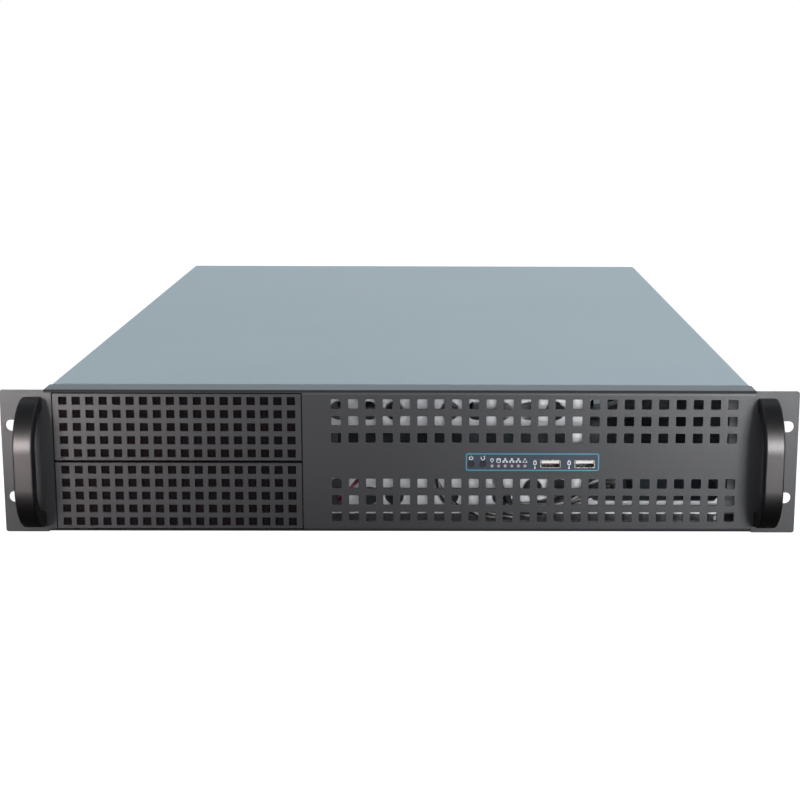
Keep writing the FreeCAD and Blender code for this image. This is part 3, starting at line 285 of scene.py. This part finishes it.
def blend_colours(tree, factor, low, high, start=0.35, end=0.65):
    """Colour that runs from low to high as a texture does."""
    ramp = tree.nodes.new("ShaderNodeValToRGB")
    ramp.color_ramp.elements[0].position = start
    ramp.color_ramp.elements[1].position = end
    ramp.color_ramp.elements[0].color = (*low, 1)
    ramp.color_ramp.elements[1].color = (*high, 1)
    tree.links.new(factor, ramp.inputs[0])
    return ramp.outputs[0]


def add_bump(tree, shader, height, strength, distance):
    bump = tree.nodes.new("ShaderNodeBump")
    bump.inputs["Strength"].default_value = strength
    bump.inputs["Distance"].default_value = distance
    tree.links.new(height, bump.inputs["Height"])
    tree.links.new(bump.outputs[0], shader.inputs["Normal"])


def vary_gloss(tree, shader, grain, roughness, drift, low=0.3, high=0.7):
    """Let the roughness follow a grain by a little to either side."""
    gloss = spread(tree, grain, low, high, roughness - drift, roughness + drift)
    tree.links.new(gloss, shader.inputs["Roughness"])


def painted(name, low, high, roughness, grain, bump):
    """Coated sheet: slow colour drift and a fine grain in its gloss and surface."""
    material, tree, shader = principled(name, low, roughness)
    colour = blend_colours(tree, noise(tree, 7, 2), low, high)
    tree.links.new(colour, shader.inputs["Base Color"])
    fine = noise(tree, grain)
    vary_gloss(tree, shader, fine, roughness, 0.05)
    add_bump(tree, shader, fine, bump, 0.0002)
    return material, tree, shader, colour


# Corners of the control strip on the panel, and how far behind the face its tint reaches
STRIP_LOW = (40.0, 39.0)
STRIP_HIGH = (120.4, 49.2)
TINT_DEPTH = 0.2


def tint_strip(tree, shader, colour, tint):
    """Bluish printed field on the panel, under the controls."""
    axes = place_axes(tree)
    tests = [("X", "GREATER_THAN", STRIP_LOW[0] * MM), ("X", "LESS_THAN", STRIP_HIGH[0] * MM),
             ("Z", "GREATER_THAN", STRIP_LOW[1] * MM), ("Z", "LESS_THAN", STRIP_HIGH[1] * MM),
             ("Y", "LESS_THAN", spot(0, TINT_DEPTH, 0).y)]
    inside = None
    for axis, kind, limit in tests:
        test = compute(tree, kind, axes[axis], limit)
        inside = test if inside is None else compute(tree, "MULTIPLY", inside, test)
    mix = tree.nodes.new("ShaderNodeMix")
    mix.data_type = "RGBA"
    mix.inputs["B"].default_value = (*tint, 1)
    tree.links.new(inside, mix.inputs["Factor"])
    tree.links.new(colour, mix.inputs["A"])
    tree.links.new(mix.outputs["Result"], shader.inputs["Base Color"])


def metal(name, low, high, roughness):
    """Bare or plated metal: patches of tone, with a fine cast grain."""
    material, tree, shader = principled(name, low, roughness, 1.0)
    tone = blend_colours(tree, noise(tree, 90, 2), low, high)
    tree.links.new(tone, shader.inputs["Base Color"])
    fine = noise(tree, 900)
    vary_gloss(tree, shader, fine, roughness, 0.08)
    add_bump(tree, shader, fine, 0.08, 0.0001)
    return material


def anodised(name, low, high, roughness):
    """Smooth satin metal with a dark coat and hardly any grain."""
    material, tree, shader = principled(name, low, roughness, 1.0)
    fine = noise(tree, 2400, 2)
    tree.links.new(blend_colours(tree, fine, low, high), shader.inputs["Base Color"])
    add_bump(tree, shader, fine, 0.02, 0.00005)
    return material


def galvanised(name, low, high, roughness):
    """Zinc-coated sheet: faint crystal patches a few millimetres across."""
    material, tree, shader = principled(name, low, roughness, 0.3)
    place = tree.nodes.new("ShaderNodeTexCoord")
    patches = tree.nodes.new("ShaderNodeTexVoronoi")
    patches.inputs["Scale"].default_value = 230
    tree.links.new(place.outputs["Object"], patches.inputs["Vector"])
    tone = tree.nodes.new("ShaderNodeSeparateColor")
    tree.links.new(patches.outputs["Color"], tone.inputs[0])
    tree.links.new(blend_colours(tree, tone.outputs[0], low, high, 0, 1),
                   shader.inputs["Base Color"])
    vary_gloss(tree, shader, tone.outputs[1], roughness, 0.06, 0, 1)
    add_bump(tree, shader, noise(tree, 700), 0.06, 0.0001)
    return material


def moulded(name, low, high, roughness, bump=0.05):
    """Moulded plastic: a faint mottle and a fine mould texture."""
    material, tree, shader = principled(name, low, roughness)
    tree.links.new(blend_colours(tree, noise(tree, 60), low, high), shader.inputs["Base Color"])
    fine = noise(tree, 1500)
    vary_gloss(tree, shader, fine, roughness, 0.05)
    add_bump(tree, shader, fine, bump, 0.0001)
    return material


def shade_foam(name, low, high):
    """Near-black open foam that hardly shines, used as painted shade."""
    material, tree, shader = principled(name, low, 1.0)
    shader.inputs["Specular IOR Level"].default_value = 0.05
    cells = noise(tree, 900, 4)
    tree.links.new(blend_colours(tree, cells, low, high), shader.inputs["Base Color"])
    add_bump(tree, shader, cells, 0.6, 0.0004)
    return material


def socket_plastic(name):
    """White tongue in the mouth of a socket, darkened towards its back by painted shade."""
    material, tree, shader = principled(name, (0.6, 0.57, 0.54), 0.4)
    mouth, back = spot(0, 3, 0).y, spot(0, 8, 0).y
    depth = spread(tree, place_axes(tree)["Y"], mouth, back, 0, 1)
    # The darkening from the mouth to the back is painted shade of the socket's inside.
    tree.links.new(blend_colours(tree, depth, (0.62, 0.59, 0.56), (0.02, 0.018, 0.016), 0, 1),
                   shader.inputs["Base Color"])
    add_bump(tree, shader, noise(tree, 1500), 0.05, 0.0001)
    return material


def make_materials():
    panel, tree, shader, colour = painted(
        "panel_black", (0.021, 0.021, 0.024), (0.027, 0.027, 0.030), 0.45, 2600, 0.15)
    tint_strip(tree, shader, colour, (0.016, 0.026, 0.042))
    cover = painted("cover_grey", (0.24, 0.307, 0.347), (0.255, 0.322, 0.362), 0.4, 1800, 0.04)[0]
    return {
        "panel_black": panel,
        "cover_grey": cover,
        "galvanised": galvanised("galvanised", (0.68, 0.685, 0.72), (0.79, 0.795, 0.82), 0.46),
        "handle_black": anodised("handle_black", (0.052, 0.049, 0.05), (0.06, 0.057, 0.058), 0.42),
        "fan_black": moulded("fan_black", (0.018, 0.018, 0.02), (0.026, 0.026, 0.028), 0.5),
        "screw_steel": metal("screw_steel", (0.55, 0.55, 0.56), (0.66, 0.66, 0.67), 0.32),
        "brass": metal("brass", (0.7, 0.53, 0.25), (0.78, 0.61, 0.32), 0.3),
        "board_green": moulded("board_green", (0.01, 0.07, 0.035), (0.014, 0.09, 0.045), 0.35),
        "socket_metal": metal("socket_metal", (0.78, 0.76, 0.72), (0.86, 0.84, 0.8), 0.24),
        "socket_insert": socket_plastic("socket_insert"),
        "lamp_clear": moulded("lamp_clear", (0.33, 0.28, 0.32), (0.42, 0.36, 0.41), 0.2),
        "button_black": moulded("button_black", (0.012, 0.01, 0.011), (0.022, 0.016, 0.018), 0.3),
        "lead_black": moulded("lead_black", (0.012, 0.012, 0.013), (0.02, 0.02, 0.022), 0.45),
        "lead_grey": moulded("lead_grey", (0.24, 0.23, 0.23), (0.34, 0.33, 0.32), 0.45),
        "lead_red": moulded("lead_red", (0.16, 0.008, 0.03), (0.24, 0.014, 0.05), 0.4),
        "plug_white": moulded("plug_white", (0.6, 0.58, 0.52), (0.7, 0.68, 0.62), 0.45),
        # Near-black material of the bay mats and gap strips: painted shade.
        "shade_black": shade_foam("shade_black", (0.004, 0.003, 0.0035), (0.009, 0.006, 0.007)),
        "print_white": moulded("print_white", (0.5, 0.51, 0.54), (0.62, 0.63, 0.66), 0.5, 0.02),
        "print_blue": moulded("print_blue", (0.035, 0.17, 0.25), (0.045, 0.2, 0.29), 0.5, 0.02),
    }


def dress_nodes(materials):
    """Give every CAD node its finish."""
    for name, node in NODES.items():
        node.data.materials.clear()
        node.data.materials.append(materials[SLOTS[name]])


# Pieces

def add_piece(name, bm, material, body="case", smooth=True):
    """Make an object of a mesh, give it a finish and let it ride on a body."""
    mesh = bpy.data.meshes.new(name)
    bmesh.ops.recalc_face_normals(bm, faces=bm.faces[:])
    bm.to_mesh(mesh)
    bm.free()
    mesh.materials.append(MATERIALS[material])
    piece = bpy.data.objects.new(name, mesh)
    bpy.context.scene.collection.objects.link(piece)
    if smooth:
        mesh.shade_smooth()
    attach(piece, body)
    return piece


def join_rings(bm, a, b):
    """Faces between two rings of as many points."""
    for k in range(len(a)):
        j = (k + 1) % len(a)
        bm.faces.new((a[k], a[j], b[j], b[k]))


# Printing on the panel: strokes a few hundredths of a millimetre thick

PRINT_THICK = 0.04
OUTLINE_WIDTH = 0.75
OUTLINE_CORNER = 1.0
ICON_WIDTH = 0.42
THIN_WIDTH = ICON_WIDTH * 0.8
BUTTON_SIGN_Z = 46.6
LAMP_SIGN_Z = 45.1
SOCKET_SIGN_X = -3.3


def stroke(bm, points, width, closed=False):
    """Add a raised line through points (x, z) in millimetres."""
    count = len(points)
    flat = [Vector((x, z)) for x, z in points]
    sides = []
    for i in range(count):
        before = flat[i] - flat[i - 1] if closed or i > 0 else flat[1] - flat[0]
        after = flat[(i + 1) % count] - flat[i] if closed or i < count - 1 else before
        across = (before.normalized() + after.normalized()).normalized()
        across = Vector((-across.y, across.x))
        grow = max(0.5, before.normalized().dot(after.normalized()) / 2 + 0.5) ** 0.5
        sides.append(across * (width / 2 / grow))
    rings = []
    for point, side in zip(flat, sides):
        ring = []
        for edge, y in ((1, 0), (1, -PRINT_THICK), (-1, -PRINT_THICK), (-1, 0)):
            corner = point + side * edge
            ring.append(bm.verts.new(spot(corner.x, y, corner.y)))
        rings.append(ring)
    ends = rings[1:] + rings[:1] if closed else rings[1:]
    for a, b in zip(rings, ends):
        join_rings(bm, a, b)
    if not closed:
        bm.faces.new(rings[0])
        bm.faces.new(rings[-1][::-1])


def arc(x, z, radius, start, end, steps=14):
    """Points along an arc, with angles in degrees."""
    angles = [math.radians(start + (end - start) * i / steps) for i in range(steps + 1)]
    return [(x + radius * math.cos(a), z + radius * math.sin(a)) for a in angles]


def dot(bm, x, z, radius):
    """Add a small raised disc."""
    points = arc(x, z, radius, 0, 360)[:-1]
    front = [bm.verts.new(spot(px, -PRINT_THICK, pz)) for px, pz in points]
    back = [bm.verts.new(spot(px, 0, pz)) for px, pz in points]
    bm.faces.new(front)
    join_rings(bm, front, back)


def rounded_box(left, right, low, high, corner, steps, reach=0.0):
    """Points round a box with arcs at its corners, pushed out by a reach."""
    radius = corner + reach
    return (arc(right - corner, high - corner, radius, 0, 90, steps)
            + arc(left + corner, high - corner, radius, 90, 180, steps)
            + arc(left + corner, low + corner, radius, 180, 270, steps)
            + arc(right - corner, low + corner, radius, 270, 360, steps))


def middle_x(box):
    return (box[0].x + box[1].x) / 2 / MM


def button_signs(icons, power_x, reset_x):
    z = BUTTON_SIGN_Z
    stroke(icons, arc(power_x, z, 1.1, -230, 50), ICON_WIDTH)
    stroke(icons, [(power_x, z + 0.2), (power_x, z + 1.5)], ICON_WIDTH)
    stroke(icons, arc(reset_x, z, 1.1, -220, 40), ICON_WIDTH)
    stroke(icons, [(reset_x + 0.3, z + 1.1), (reset_x + 1.0, z + 0.8), (reset_x + 1.2, z + 1.5)],
           THIN_WIDTH)


def bulb_sign(icons, x, z):
    stroke(icons, arc(x, z + 0.3, 0.85, -60, 240), ICON_WIDTH)
    stroke(icons, [(x - 0.4, z - 0.7), (x + 0.4, z - 0.7)], ICON_WIDTH)
    stroke(icons, [(x - 0.3, z - 1.3), (x + 0.3, z - 1.3)], THIN_WIDTH)


def drive_sign(icons, x, z):
    top = [(x + dx, z + 0.8 + dz * 0.4) for dx, dz in arc(0, 0, 1.1, 0, 360)[:-1]]
    stroke(icons, top, ICON_WIDTH, closed=True)
    stroke(icons, [(x - 1.1, z + 0.7), (x - 1.1, z - 0.9), (x - 0.5, z - 1.3),
                   (x + 0.5, z - 1.3), (x + 1.1, z - 0.9), (x + 1.1, z + 0.7)], ICON_WIDTH)


def network_sign(icons, x, z):
    for dx, dz in ((0, 0.95), (-1.05, -0.85), (1.05, -0.85)):
        box = [(x + dx - 0.35, z + dz - 0.3), (x + dx + 0.35, z + dz - 0.3),
               (x + dx + 0.35, z + dz + 0.3), (x + dx - 0.35, z + dz + 0.3)]
        stroke(icons, box, ICON_WIDTH, closed=True)
    stroke(icons, [(x, z + 0.6), (x, z + 0.05)], THIN_WIDTH)
    stroke(icons, [(x - 1.05, z - 0.5), (x - 1.05, z), (x + 1.05, z), (x + 1.05, z - 0.5)],
           THIN_WIDTH)


def warning_sign(icons, x, z):
    stroke(icons, [(x - 1.3, z - 1.1), (x + 1.3, z - 1.1), (x, z + 1.2)], ICON_WIDTH, closed=True)


def socket_sign(icons, x):
    stroke(icons, [(x, 40.4), (x, 42.6)], ICON_WIDTH)
    stroke(icons, [(x - 0.8, 42.8), (x + 0.8, 42.8), (x + 0.8, 44.4), (x - 0.8, 44.4)],
           ICON_WIDTH, closed=True)
    for dx in (-0.4, 0.4):
        stroke(icons, [(x + dx, 44.6), (x + dx, 45.5)], THIN_WIDTH)
    dot(icons, x, 40.4, 0.5)


def make_print():
    """Outline of the control strip and its generic signs."""
    outline = bmesh.new()
    path = rounded_box(STRIP_LOW[0], STRIP_HIGH[0], STRIP_LOW[1], STRIP_HIGH[1], OUTLINE_CORNER, 6)
    stroke(outline, path, OUTLINE_WIDTH, closed=True)
    add_piece("strip_outline", outline, "print_blue", smooth=False)

    icons = bmesh.new()
    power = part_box("power_button")
    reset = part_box("reset_button")
    button_signs(icons, middle_x(power), middle_x(reset))
    lamp_signs = (bulb_sign, drive_sign, network_sign, network_sign, network_sign, warning_sign)
    for number, sign in enumerate(lamp_signs, 1):
        sign(icons, middle_x(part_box("led_%d" % number)), LAMP_SIGN_Z)
    for number in (1, 2):
        socket_sign(icons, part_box("usb_port_%d" % number)[0].x / MM + SOCKET_SIGN_X)
    add_piece("strip_icons", icons, "print_white", smooth=False)


# Near-black mats behind the perforated bay covers and near-black strips in the gaps round them:
# painted shade of the bay inside and of the shadow gaps

SHADE_MAT_INSET = 1.8
SHADE_MAT_FRONT = 1.6
SHADE_MAT_THICK = 1.6
SHADE_MAT_CELL = 2.4
SHADE_MAT_DIMPLE = 0.35
SHADOW_GAP_CORNER = 0.4
# Section of the strip: distance out from the cover's edge, and behind its face
SHADOW_GAP_SECTION = [(-0.1, -0.05), (0.1, -0.08), (0.42, -0.02), (0.5, 0.15), (0.5, 1.1),
                  (-0.1, 1.25)]


def shade_mat_face(bm, cover, side):
    """Rows of points on the front (-1) or back (1) of a quilted mat, joined by faces."""
    low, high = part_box(cover)
    left, right = low.x / MM + SHADE_MAT_INSET, high.x / MM - SHADE_MAT_INSET
    bottom, top = low.z / MM + SHADE_MAT_INSET / 2, high.z / MM - SHADE_MAT_INSET / 2
    columns = round((right - left) / SHADE_MAT_CELL) * 2
    rows = round((top - bottom) / SHADE_MAT_CELL) * 2
    face = []
    for row in range(rows + 1):
        line = []
        for column in range(columns + 1):
            raised = row % 2 and column % 2
            y = SHADE_MAT_FRONT + SHADE_MAT_THICK / 2 + side * (SHADE_MAT_THICK / 2)
            y -= 0 if raised else side * SHADE_MAT_DIMPLE
            line.append(bm.verts.new(spot(left + (right - left) * column / columns, y,
                                          bottom + (top - bottom) * row / rows)))
        face.append(line)
    for lower, upper in zip(face, face[1:]):
        for k in range(columns):
            bm.faces.new((lower[k], lower[k + 1], upper[k + 1], upper[k]))
    return face


def make_shade_mat(cover, body):
    """Thin near-black quilted mat held behind a perforated bay cover, as painted shade of the bay
    inside.
    """
    bm = bmesh.new()
    front, back = shade_mat_face(bm, cover, -1), shade_mat_face(bm, cover, 1)
    rims = [([row[0] for row in front], [row[0] for row in back]),
            ([row[-1] for row in front], [row[-1] for row in back]),
            (front[0], back[0]), (front[-1], back[-1])]
    for near, far in rims:
        for k in range(len(near) - 1):
            bm.faces.new((near[k], near[k + 1], far[k + 1], far[k]))
    add_piece(cover + "_shade_mat", bm, "shade_black", body)


def make_shadow_gap(cover, body):
    """Thin near-black strip round the edge of a bay cover, filling its gap as painted shade of the
    shadow gap.
    """
    low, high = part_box(cover)
    left, right, bottom, top = low.x / MM, high.x / MM, low.z / MM, high.z / MM
    bm = bmesh.new()
    rings = []
    for reach, y in SHADOW_GAP_SECTION:
        loop = rounded_box(left, right, bottom, top, SHADOW_GAP_CORNER, 4, reach)
        rings.append([bm.verts.new(spot(x, y, z)) for x, z in loop])
    for near, far in zip(rings, rings[1:] + rings[:1]):
        join_rings(bm, near, far)
    add_piece(cover + "_shadow_gap", bm, "shade_black", body, smooth=False)


# Leads: twisted bundles of wires along smooth routes

TWIST_PITCH = 42.0
# Points of each route, the same as the solid lead's
LEAD_ROUTES = {
    "switch_lead": [
        (20.5, 16.6, 37), (20.5, 16.6, 24), (38.5, 16.6, 7.5), (66.5, 16.1, 6), (98, 14.6, 9),
        (123, 19.6, 22), (134, 44.2, 22), (140, 70.2, 4.4), (140, 102.2, 4.4)],
    "usb_lead": [
        (60.5, 16.6, 37), (60.5, 16.6, 24), (65.5, 16.6, 15.5), (76.5, 16.6, 11.8),
        (104, 16.6, 17), (125, 21.6, 30), (142, 42.2, 29), (154, 70.2, 4.4), (154, 102.2, 4.4)],
    "red_lead": [
        (10, 16.6, 44), (-8, 16.6, 44), (-22, 11.6, 35), (-32, 6.6, 25), (-37, 7, 19.5),
        (-39.3, 13, 16.4), (-37, 25, 15.8), (-34.3, 46.2, 5.6), (-34.3, 68.2, 5.6)],
}
# Wires of each lead: distance from the middle, angle, radius and material
LEAD_WIRES = {
    "switch_lead": [(0, 0, 0.66, "lead_black")] + [
        (1.28, 60 * k, 0.66, "lead_grey" if k % 2 else "lead_black") for k in range(6)],
    "usb_lead": [(1.15, 90 * k, 0.95, "lead_grey" if k == 1 else "lead_black") for k in range(4)],
    "red_lead": [(0.6, 180 * k, 0.6, "lead_red") for k in range(2)],
}


def smooth_route(points):
    """Points of the NURBS spline that follows a route given in millimetres."""
    curve = bpy.data.curves.new("route", "CURVE")
    curve.dimensions = "3D"
    curve.resolution_u = 10
    spline = curve.splines.new("NURBS")
    spline.points.add(len(points) - 1)
    for point, place in zip(spline.points, points):
        point.co = (*spot(*place), 1)
    spline.order_u = 3
    spline.use_endpoint_u = True
    holder = bpy.data.objects.new("route", curve)
    mesh = bpy.data.meshes.new_from_object(holder)
    route = [vertex.co.copy() for vertex in mesh.vertices]
    bpy.data.meshes.remove(mesh)
    bpy.data.objects.remove(holder)
    bpy.data.curves.remove(curve)
    return route


def carried_frames(route):
    """Direction and two cross axes at each point, turned as little as possible."""
    frames = []
    side = Vector((1, 0, 0))
    for i, here in enumerate(route):
        before = route[max(i - 1, 0)]
        after = route[min(i + 1, len(route) - 1)]
        ahead = (after - before).normalized()
        side = (side - ahead * side.dot(ahead)).normalized()
        frames.append((here, side, ahead.cross(side)))
    return frames


def tube(bm, centres, frames, radius, sides=10):
    rings = []
    for centre, (_, side, up) in zip(centres, frames):
        ring = []
        for k in range(sides):
            angle = 2 * math.pi * k / sides
            ring.append(bm.verts.new(
                centre + side * (radius * math.cos(angle)) + up * (radius * math.sin(angle))))
        rings.append(ring)
    for a, b in zip(rings, rings[1:]):
        join_rings(bm, a, b)
    bm.faces.new(rings[0][::-1])
    bm.faces.new(rings[-1])


def make_lead(node):
    """Replace a lead by wires twisted about its route."""
    frames = carried_frames(smooth_route(LEAD_ROUTES[node]))
    run = 0.0
    turns = []
    for i, (here, _, _) in enumerate(frames):
        if i:
            run += (here - frames[i - 1][0]).length
        turns.append(run / (TWIST_PITCH * MM) * 2 * math.pi)
    for number, (distance, angle, radius, material) in enumerate(LEAD_WIRES[node], 1):
        bm = bmesh.new()
        centres = []
        for (here, side, up), turn in zip(frames, turns):
            at = turn + math.radians(angle)
            reach = distance * MM
            centres.append(here + side * (reach * math.cos(at)) + up * (reach * math.sin(at)))
        tube(bm, centres, frames, radius * MM)
        piece = add_piece("%s_wire_%d" % (node, number), bm, material)
        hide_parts(node)


# Screws: threaded shanks, and heads with a cross recess or a knurled rim

SCREW_HEAD_RADIUS = 2.9
SCREW_HEAD = 1.8
THUMB_HEAD_RADIUS = 5.5
THUMB_HEAD = 8.0
SHANK_RADIUS = 1.5
TIP_TAPER = 0.35
TIP_LENGTH = 0.25
THREAD_PITCH = 0.5
THREAD_DEPTH = 0.22
KNURL_DEPTH = 0.28
RIM_CHAMFER = 0.7
# Share of the head's radius and of its height, from the seat up
PLAIN_PROFILE = ((1.0, 0), (1.0, 0.45), (0.94, 0.78), (0.8, 0.94), (0.62, 1.0))
NECK_SHARE = 0.62
LARGEST_ARM = 2.2
# Two points of a node nearer than this across its screws belong to one screw
SCREW_APART = 13.0
AXES = {"rear": Vector((0, 1, 0)), "front": Vector((0, -1, 0)), "up": Vector((0, 0, 1))}


def ring_of(bm, radii, z):
    count = len(radii)
    ring = []
    for k, radius in enumerate(radii):
        angle = 2 * math.pi * k / count
        ring.append(bm.verts.new((radius * math.cos(angle), radius * math.sin(angle), z)))
    return ring


def recess_loop(bm, arm, half, z):
    """Twelve corners of a cross."""
    corners = []
    for turn in range(4):
        c, s = (1, 0, -1, 0)[turn], (0, 1, 0, -1)[turn]
        for x, y in ((arm, -half), (arm, half), (half, half)):
            corners.append(bm.verts.new((x * c - y * s, x * s + y * c, z)))
    return corners


def shank_rings(bm, count, length):
    """Rings of a threaded shank, from its tip up to the seat."""
    rings = [ring_of(bm, [SHANK_RADIUS - TIP_TAPER] * count, -length)]
    steps = max(2, int(length / (THREAD_PITCH / 2)) - 1)
    for i in range(steps + 1):
        z = -length + TIP_LENGTH + (length - TIP_LENGTH) * i / steps
        radius = SHANK_RADIUS if i % 2 else SHANK_RADIUS - THREAD_DEPTH
        rings.append(ring_of(bm, [radius] * count, z))
    return rings


def head_rings(bm, count, head_radius, head, knurled):
    """Rings of a head, from its seat up to its top."""
    if not knurled:
        return [ring_of(bm, [head_radius * share] * count, head * height)
                for share, height in PLAIN_PROFILE]
    neck = [head_radius * NECK_SHARE] * count
    inner = [head_radius - RIM_CHAMFER] * count
    rim = [head_radius - (KNURL_DEPTH if k % 2 else 0) for k in range(count)]
    profile = ((neck, 0), (neck, 0.22), (inner, 0.26), (rim, 0.34), (rim, 0.92), (inner, 1.0))
    return [ring_of(bm, radii, head * height) for radii, height in profile]


def screw_mesh(head_radius, head, length, knurled):
    """One screw along +Z with its seat at z = 0, in metres."""
    bm = bmesh.new()
    count = 48 if knurled else 24
    rings = shank_rings(bm, count, length) + head_rings(bm, count, head_radius, head, knurled)
    for a, b in zip(rings, rings[1:]):
        join_rings(bm, a, b)
    bm.faces.new(rings[0][::-1])
    arm = min(head_radius * 0.5, LARGEST_ARM)
    loop = recess_loop(bm, arm, arm * 0.26, head)
    floor = recess_loop(bm, arm * 0.8, arm * 0.2, head * 0.45)
    edges = []
    for ring in (rings[-1], loop):
        for k in range(len(ring)):
            a, b = ring[k], ring[(k + 1) % len(ring)]
            edges.append(bm.edges.get((a, b)) or bm.edges.new((a, b)))
    bmesh.ops.triangle_fill(bm, edges=edges, use_beauty=True)
    join_rings(bm, loop, floor)
    bm.faces.new(floor)
    bmesh.ops.recalc_face_normals(bm, faces=bm.faces[:])
    bmesh.ops.scale(bm, vec=(MM, MM, MM), verts=bm.verts[:])
    mesh = bpy.data.meshes.new("screw")
    bm.to_mesh(mesh)
    bm.free()
    return mesh


def screw_places(node, axis, head):
    """Find the seat and length of each screw in a CAD node of several equal screws."""
    flat = (0, 1) if axis == "up" else (0, 2)
    along = 2 if axis == "up" else 1
    groups = []
    for vertex in NODES[node].data.vertices:
        here = vertex.co
        for group in groups:
            if math.hypot(here[flat[0]] - group[0][flat[0]],
                          here[flat[1]] - group[0][flat[1]]) < SCREW_APART * MM:
                group.append(here.copy())
                break
        else:
            groups.append([here.copy()])
    places = []
    for group in groups:
        low = Vector([min(v[k] for v in group) for k in range(3)])
        high = Vector([max(v[k] for v in group) for k in range(3)])
        seat = (low + high) / 2
        run = AXES[axis][along]
        top = high[along] if run > 0 else low[along]
        seat[along] = top - run * head * MM
        places.append((seat, (high[along] - low[along]) / MM - head))
    return places


def make_screws(node, axis, head_radius=SCREW_HEAD_RADIUS, head=SCREW_HEAD, body="case",
                knurled=False):
    """Replace a node of plain screws by detailed ones of the same size."""
    places = screw_places(node, axis, head)
    template = screw_mesh(head_radius, head, places[0][1], knurled)
    turn = AXES[axis].to_track_quat("Z", "Y").to_matrix().to_4x4()
    bm = bmesh.new()
    for seat, _ in places:
        copy = template.copy()
        copy.transform(Matrix.Translation(seat) @ turn)
        bm.from_mesh(copy)
        bpy.data.meshes.remove(copy)
    piece = add_piece(node + "_detail", bm, SLOTS[node], body, smooth=False)
    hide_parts(node)
    bpy.data.meshes.remove(template)


make_camera()
make_floor()
make_world()
for lamp in LAMPS:
    area_light(*lamp)
MATERIALS = make_materials()
dress_nodes(MATERIALS)
make_print()
# Near-black mats and gap strips at the bay covers: painted shade.
for cover, body in (("lower_bay_cover", "lower_cover"), ("upper_bay_cover", "upper_cover")):
    make_shade_mat(cover, body)
    make_shadow_gap(cover, body)
for lead in LEAD_ROUTES:
    make_lead(lead)
make_screws("cover_thumbscrews", "rear", THUMB_HEAD_RADIUS, THUMB_HEAD, "cover", knurled=True)
make_screws("slot_screws", "up")
make_screws("fan_screws", "front")
make_screws("panel_screws", "rear")
make_screws("handle_screws", "rear")

bpy.context.scene.view_settings.view_transform = "Standard"
